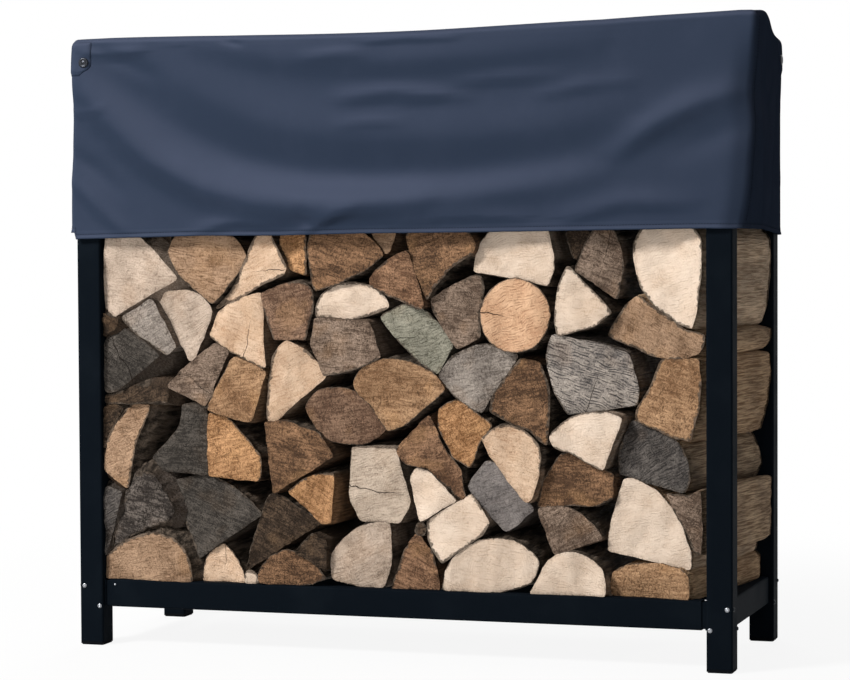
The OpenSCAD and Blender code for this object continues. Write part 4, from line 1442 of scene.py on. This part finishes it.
    def sewing(self, y: np.ndarray, z: np.ndarray, face: dict) -> np.ndarray:
        """Raises the hem and the side seams, and draws in their stitch lines."""
        skirt = 1 - smooth(face["top"], 0.2, 0.5)
        above = z - self.hem
        band = self.hem_rise * (1 - smooth(above, self.hem_band - 0.001, self.hem_band + 0.003))
        groove = -self.groove * np.exp(-((above - self.hem_band + 0.002) / 0.0022) ** 2)
        roll = self.hem_roll * np.exp(-(above / 0.0035) ** 2)
        seam = self.seam_rise * (1 - smooth(np.abs(y - self.seam_y), 0.004, 0.0065))
        return skirt * (band + groove + roll + seam * np.maximum(face["left"], face["right"]))

    def lift(self, x: np.ndarray, y: np.ndarray, z: np.ndarray) -> np.ndarray:
        """Returns how far each point is raised: the top's crown, its uneven edge, and the uneven hem."""
        deep = np.clip((y + self.half_y) / (2 * self.half_y), 0, 1)
        raised = self.read(x, self.FRONT_TOP) * (1 - deep) ** 1.4
        raised += self.crown * np.clip(1 - np.abs(y / self.half_y) ** 1.35, 0, 1)
        raised += self.peak * np.exp(-((y + 0.06) / 0.09) ** 2) * smooth(x, 0.40, 0.60)
        high = smooth(z, self.top - 0.11, self.top - 0.5 * self.edge)
        rear_hem = (-2.0 + 2.5 * np.sin(9 * x + 0.6)) * MM
        long_hem = self.read(x, self.FRONT_HEM) * smooth(-y, -0.01, 0.01) + rear_hem * smooth(y, -0.01, 0.01)
        swing = np.where(np.abs(x) > self.half_x - self.edge, self.read(y, self.SIDE_HEM), long_hem)
        return raised * high + swing * (1 - smooth(z, self.hem, self.hem + 0.12))

    def shoulder(self, x: np.ndarray, y: np.ndarray, z: np.ndarray) -> tuple[np.ndarray, np.ndarray]:
        """Returns how far the loose front right corner stands out to the right, and how far it turns back."""
        heights = np.linspace(self.hem, self.top, 60)
        reach = eased(self.read(heights, self.SHOULDER), 30)
        loose = np.interp(z, heights, reach) * smooth(-y, -0.20, self.half_y)
        cling = -self.cling * smooth(y, 0.0, 0.2)
        back = self.turned * smooth(x, 0.56, self.half_x) ** 2 * (1 - smooth(z, 0.98, 1.07))
        tuck = self.tuck * smooth(-x, 0.46, self.half_x) * smooth(z, 0.78, 1.0)
        tuck = tuck * smooth(-y, -0.10, self.half_y)
        outward = smooth(x, 0.46, self.half_x) * (loose + cling) + tuck
        return outward, back * smooth(-y, 0.10, self.half_y)

    def sheet(self) -> bpy.types.Object:
        """Builds the cloth itself.

        Returns:
            The closed, thin cloth with a map of its threads.
        """
        xs, ys = (self.lines(2 * half, 0.003, 0.0085, 0.045) - half for half in (self.half_x, self.half_y))
        seam = np.array([-0.0075, -0.005, -0.0025, 0, 0.0025, 0.005, 0.0075]) + self.seam_y
        ys = np.unique(np.round(np.concatenate([ys[np.abs(ys - self.seam_y) > 0.010], seam]), 6))
        zs = self.lines(self.top - self.hem, 0.0022, 0.0085, 0.031) + self.hem
        grid: dict[tuple[int, ...], int] = {}
        sharp, faces, charts = [], [], []

        def corner(spot: tuple[int, ...]) -> int:
            """Returns the number of a point of the box's lattice."""
            if spot not in grid:
                grid[spot] = len(sharp)
                sharp.append((xs[spot[0]], ys[spot[1]], zs[spot[2]]))
            return grid[spot]

        ends = [len(axis) - 1 for axis in (xs, ys, zs)]
        for fixed, far, flip in ((1, False, False), (1, True, True), (0, False, True), (0, True, False),
                                 (2, True, False)):
            chart = [axis for axis in range(3) if axis != fixed]
            at = ends[fixed] if far else 0
            for a in range(ends[chart[0]]):
                for b in range(ends[chart[1]]):
                    ring = [(a, b), (a + 1, b), (a + 1, b + 1), (a, b + 1)]
                    ring = [(*spot[:fixed], at, *spot[fixed:]) for spot in ring]
                    faces.append([corner(spot) for spot in (ring[::-1] if flip else ring)])
                    charts.append(chart)
        sharp = np.array(sharp)
        obj = new_object("fabric_cover", self.place(sharp)[0], faces, CLOTH.make())
        put_map(obj, np.array([[sharp[i][chart] for i in face] for face, chart in zip(faces, charts)]))
        solid = obj.modifiers.new("thickness", "SOLIDIFY")
        solid.thickness, solid.offset = self.thick, -1.0
        settle(obj)
        return obj

    def path(self, sharp: np.ndarray) -> tuple[np.ndarray, np.ndarray, np.ndarray]:
        """Spaces stitches along a line on the cloth.

        Args:
            sharp: Points of the line on the plain box, close together.

        Returns:
            Each stitch's place, where the cloth faces there, and the line's direction.
        """
        points, out = self.place(sharp)
        run = run_along(points)
        spots = np.arange(self.pitch / 2, run[-1], self.pitch)

        def along(values: np.ndarray, shift: float = 0.0) -> np.ndarray:
            """Reads values at each stitch, or a little after it."""
            return np.stack([np.interp(spots + shift, run, values[:, k]) for k in range(3)], 1)

        where, faces = along(points), along(out)
        ahead = along(points, MM) - where
        keep = np.linalg.norm(ahead, axis=1) > 1e-6
        return where[keep], faces[keep], ahead[keep]

    def loop(self, height: float) -> np.ndarray:
        """Returns points round the skirt at a height above the hem."""
        a, b = self.half_x, self.half_y
        corners = np.array([(-a, -b), (a, -b), (a, b), (-a, b), (-a, -b)])
        share = np.linspace(0, 1, 500)[:, None]
        sides = [corners[k] + (corners[k + 1] - corners[k]) * share for k in range(4)]
        flat = np.concatenate(sides)
        return np.column_stack([flat, np.full(len(flat), self.hem + height)])

    @staticmethod
    def stitch() -> bpy.types.Object:
        """Returns one stitch: a short five-sided thread with pointed ends."""
        ring = [(math.cos(a), math.sin(a)) for a in np.linspace(0, 2 * math.pi, 6)[:-1]]
        points = [(x, 0.00042 * c, 0.00030 + 0.00036 * s) for x in (-0.0012, 0.0012) for c, s in ring]
        points += [(-0.0019, 0, 0.0), (0.0019, 0, 0.0)]
        faces = [(i, i + 5, (i + 1) % 5 + 5, (i + 1) % 5) for i in range(5)]
        faces += [(10, i, (i + 1) % 5) for i in range(5)] + [(11, (i + 1) % 5 + 5, i + 5) for i in range(5)]
        return new_object("stitch", np.array(points), faces)

    def stitches(self, setting: Setting) -> bpy.types.Object:
        """Builds the stitches of the hem and the side seams."""
        rows = [self.path(self.loop(self.hem_band - 0.002))]
        heights = np.linspace(self.hem + self.hem_band + 0.004, self.top - self.edge, 300)
        for side in (-1, 1):
            for shift in (-0.0032, 0.0032):
                x, y = (np.full(len(heights), v) for v in (side * self.half_x, self.seam_y + shift))
                rows.append(self.path(np.stack([x, y, heights], 1)))
        places, out, way = (np.concatenate(part) for part in zip(*rows))
        shape = self.stitch()
        made = setting.scatter("cover_stitches", shape, THREAD.make(), places + out * 0.0003, out, way)
        bpy.data.objects.remove(shape)
        return made

    def tab(self, name: str, origin: np.ndarray, across: Sequence[float],
            cloth: bpy.types.Material) -> bpy.types.Object:
        """Builds a corner tab that lies on the cloth.

        Args:
            name: Name of the piece.
            origin: Upper corner of the tab on the plain box, at the cover's corner.
            across: Direction away from that corner.
            cloth: Its material.

        Returns:
            The finished tab.
        """
        columns, rows = self.TAB_GRID
        s, t = (axis.ravel() for axis in np.meshgrid(np.linspace(0, 1, columns), np.linspace(0, 1, rows)))
        narrow = 1 - 0.55 * smooth(t, 0.62, 1.0) ** 2
        sharp = origin + np.outer(s * self.tab_wide * narrow, across) - np.outer(t * self.tab_drop, UP)
        points, out = self.place(sharp)
        rim = np.minimum.reduce([1 - s, 1 - t, t, np.where(t < 0.5, 1, s + 0.15)])
        height = 0.0005 + 0.0016 * smooth(rim, 0.0, 0.14)
        upper, lower = points + out * height[:, None], points + out * 0.0001
        ids = np.arange(len(points)).reshape(rows, columns)
        cells = np.stack([ids[:-1, :-1], ids[:-1, 1:], ids[1:, 1:], ids[1:, :-1]], 2).reshape(-1, 4).tolist()
        border = np.concatenate([ids[0], ids[1:, -1], ids[-1, -2::-1], ids[-2:0:-1, 0]]).tolist()
        size = len(points)
        inward = np.dot(np.cross(across, -UP), out.mean(0)) < 0
        faces = [c[::-1] if inward else c for c in cells]
        faces += [[i + size for i in (c if inward else c[::-1])] for c in cells]
        for a, b in zip(border, border[1:] + border[:1]):
            wall = (b, a, a + size, b + size)
            faces.append(wall[::-1] if inward else wall)
        obj = new_object(name, np.concatenate([upper, lower]), faces, cloth)
        flat = np.stack([s * self.tab_wide, t * self.tab_drop], 1)
        put_map(obj, np.array([flat[i % size] for face in faces for i in face]))
        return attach(obj, ROOT)

    def build(self, setting: Setting) -> list[bpy.types.Object]:
        """Builds the cover with its tabs, snaps and stitches.

        Args:
            setting: The tree that sets snaps and stitches.

        Returns:
            The finished objects.
        """
        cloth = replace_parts(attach(self.sheet(), ROOT), "cover")
        tabs, spots = [], []
        for side, sign, across in (("front", -1, (1, 0, 0)), ("left", -1, (0, 1, 0)), ("rear", 1, (-1, 0, 0)),
                                   ("right", 1, (0, -1, 0))):
            origin = np.array((sign * self.half_x, sign * self.half_y, self.top - 0.5 * self.edge))
            tabs.append(self.tab(f"cover_tab_{side}", origin, across, cloth.data.materials[0]))
            spots.append(origin + self.snap_in * np.array(across) - self.snap_drop * UP)
        points, out = self.place(np.array(spots))
        shape = revolved("snap", self.SNAP)
        snaps = setting.scatter("cover_snaps", shape, NICKEL.make(), points + out * 0.0024, out,
                                np.tile(UP, (len(out), 1)))
        bpy.data.objects.remove(shape)
        stitches = self.stitches(setting)
        return [cloth, *tabs, snaps, stitches]


class Tubework:
    """The frame's own solids, which keep their shape and get their finish here."""

    REBUILT = ("cover", "log_row")

    def dress(self) -> list[bpy.types.Object]:
        """Gives each solid its finish and returns them."""
        coat, plug = COAT.make(), PLUG.make()
        dressed = []
        for name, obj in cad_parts.items():
            if not name.startswith(self.REBUILT):
                obj.data.materials.clear()
                obj.data.materials.append(plug if name.startswith("foot") else coat)
                dressed.append(obj)
        return dressed


@dataclass
class Studio:
    """The camera, the lamps, the floor and the background.

    Attributes:
        eye: Place of the camera, in metres.
        yaw, pitch, roll: Its turns: to the left in degrees, down and about its axis in radians.
        focal: Focal length in picture widths.
        floor_half: Half the width of the floor, in metres.
        ambient: Strength of the light that the background gives.
    """

    eye: tuple[float, float, float] = (1.47872, -4.5822, 0.727542)
    yaw: float = 17.97
    pitch: float = 0.037
    roll: float = -0.005
    focal: float = 2655.064 / 850
    floor_half: float = 9.0
    ambient: float = 0.07

    # Name, place, aim, width, power in watts and colour of each lamp
    LAMPS = (("key", (-2.7, -3.5, 3.6), (0.0, 0.0, 0.6), 1.2, 330.0, (1.0, 0.99, 0.98)),
             ("fill", (0.6, -5.0, 1.0), (0.0, 0.0, 0.5), 2.0, 48.0, (0.98, 0.99, 1.0)),
             ("back", (-0.6, 3.4, 2.6), (0.0, 0.0, 0.6), 2.4, 80.0, (1.0, 1.0, 1.0)))

    def camera(self) -> bpy.types.Object:
        """Returns the camera at the photograph's angle."""
        turn = math.radians(self.yaw)
        ahead = Vector((-math.sin(turn) * math.cos(self.pitch), math.cos(turn) * math.cos(self.pitch),
                        -math.sin(self.pitch)))
        right = Vector((math.cos(turn), math.sin(turn), 0.0))
        up = right.cross(ahead)
        c, s = math.cos(self.roll), math.sin(self.roll)
        right, up = right * c + up * s, up * c - right * s
        data = bpy.data.cameras.new("camera")
        data.sensor_fit, data.sensor_width = "HORIZONTAL", 36.0
        data.lens = self.focal * data.sensor_width
        data.clip_end = 100.0
        obj = bpy.data.objects.new("camera", data)
        obj.matrix_world = Matrix.Translation(self.eye) @ Matrix((right, up, -ahead)).transposed().to_4x4()
        bpy.context.scene.collection.objects.link(obj)
        bpy.context.scene.camera = obj
        return obj

    @staticmethod
    def lamp(name: str, place: Sequence[float], aim: Sequence[float], size: float, power: float,
             colour: Colour) -> bpy.types.Object:
        """Makes a soft area lamp.

        Args:
            name: Its name.
            place: Where it stands.
            aim: What it points at.
            size: Width of its face.
            power: Its power in watts.
            colour: Colour of its light.

        Returns:
            The lamp.
        """
        data = bpy.data.lights.new(name, "AREA")
        data.size, data.energy, data.color = size, power, colour
        obj = bpy.data.objects.new(name, data)
        obj.location = place
        obj.rotation_mode = "QUATERNION"
        obj.rotation_quaternion = (Vector(aim) - Vector(place)).to_track_quat("-Z", "Y")
        bpy.context.scene.collection.objects.link(obj)
        return obj

    @staticmethod
    def seen(n: Nodes) -> bpy.types.NodeSocket:
        """Returns 1 for rays that show the background, and 0 for rays that light the scene."""
        path = n.add("ShaderNodeLightPath").outputs
        shown = n.math("MAXIMUM", path["Is Camera Ray"], path["Is Glossy Ray"])
        return n.math("MAXIMUM", shown, path["Is Transmission Ray"])

    def world(self) -> None:
        """Makes the background, which looks white but gives little light."""
        world = bpy.data.worlds.new("studio")
        bpy.context.scene.world = world
        world.use_nodes = True
        n = Nodes(world.node_tree)
        back = world.node_tree.nodes["Background"]
        back.inputs["Color"].default_value = (1.0, 1.0, 1.0, 1.0)
        n.feed(back.inputs["Strength"], n.scaled(self.seen(n), 1 - self.ambient, self.ambient))

    def floor(self) -> bpy.types.Object:
        """Makes the floor, which fades to plain white away from the part, and returns it."""
        half = self.floor_half
        corners = np.array([(-half, -half, 0), (half, -half, 0), (half, half, 0), (-half, half, 0)])
        floor = new_object("floor", corners, [(0, 1, 2, 3)])
        pale = bpy.data.materials.new("pale_floor")
        pale.use_nodes = True
        n = Nodes(pale.node_tree)
        shader = pale.node_tree.nodes["Principled BSDF"]
        shader.inputs["Base Color"].default_value = (0.86, 0.86, 0.86, 1.0)
        shader.inputs["Roughness"].default_value = 0.9
        shader.inputs["Specular IOR Level"].default_value = 0.0
        glow = n.add("ShaderNodeEmission", {"Color": (1.0, 1.0, 1.0, 1.0), "Strength": 1.0}).outputs[0]
        where = n.add("ShaderNodeTexCoord").outputs["Object"]
        away = n.add("ShaderNodeVectorMath", {0: where}, operation="LENGTH").outputs["Value"]
        share = n.times(self.seen(n), n.scaled(n.rise(away, 0.6, 2.2), 0.10, 0.90))
        mixed = n.add("ShaderNodeMixShader", {0: share, 1: shader.outputs[0], 2: glow}).outputs[0]
        n.feed(pale.node_tree.nodes["Material Output"].inputs["Surface"], mixed)
        floor.data.materials.append(pale)
        return floor

    def build(self) -> None:
        """Sets the stage."""
        self.camera()
        self.world()
        self.floor()
        for lamp in self.LAMPS:
            self.lamp(*lamp)
        bpy.context.scene.view_settings.view_transform = "Standard"


def report(pieces: Iterable[bpy.types.Object]) -> None:
    """Logs each finished piece with its number of faces."""
    for piece in pieces:
        log.info("%s: %d faces", piece.name, len(piece.data.polygons))


def main() -> None:
    """Builds everything in order."""
    logging.basicConfig(level=logging.INFO, format="%(name)s %(message)s")
    Studio().build()
    report(Tubework().dress())
    setting = Setting()
    report(Fasteners().build(setting))
    finish = Firewood().make()
    roughening = Roughening()
    for number, (node, names) in enumerate(STACK.items()):
        finishes = [Wood[name] for name in names.split()]
        report([LogRow(node, finishes, 1000 + 100 * number).build(roughening, finish)])
    report(Cover().build(setting))


if __name__ == "__main__":
    main()
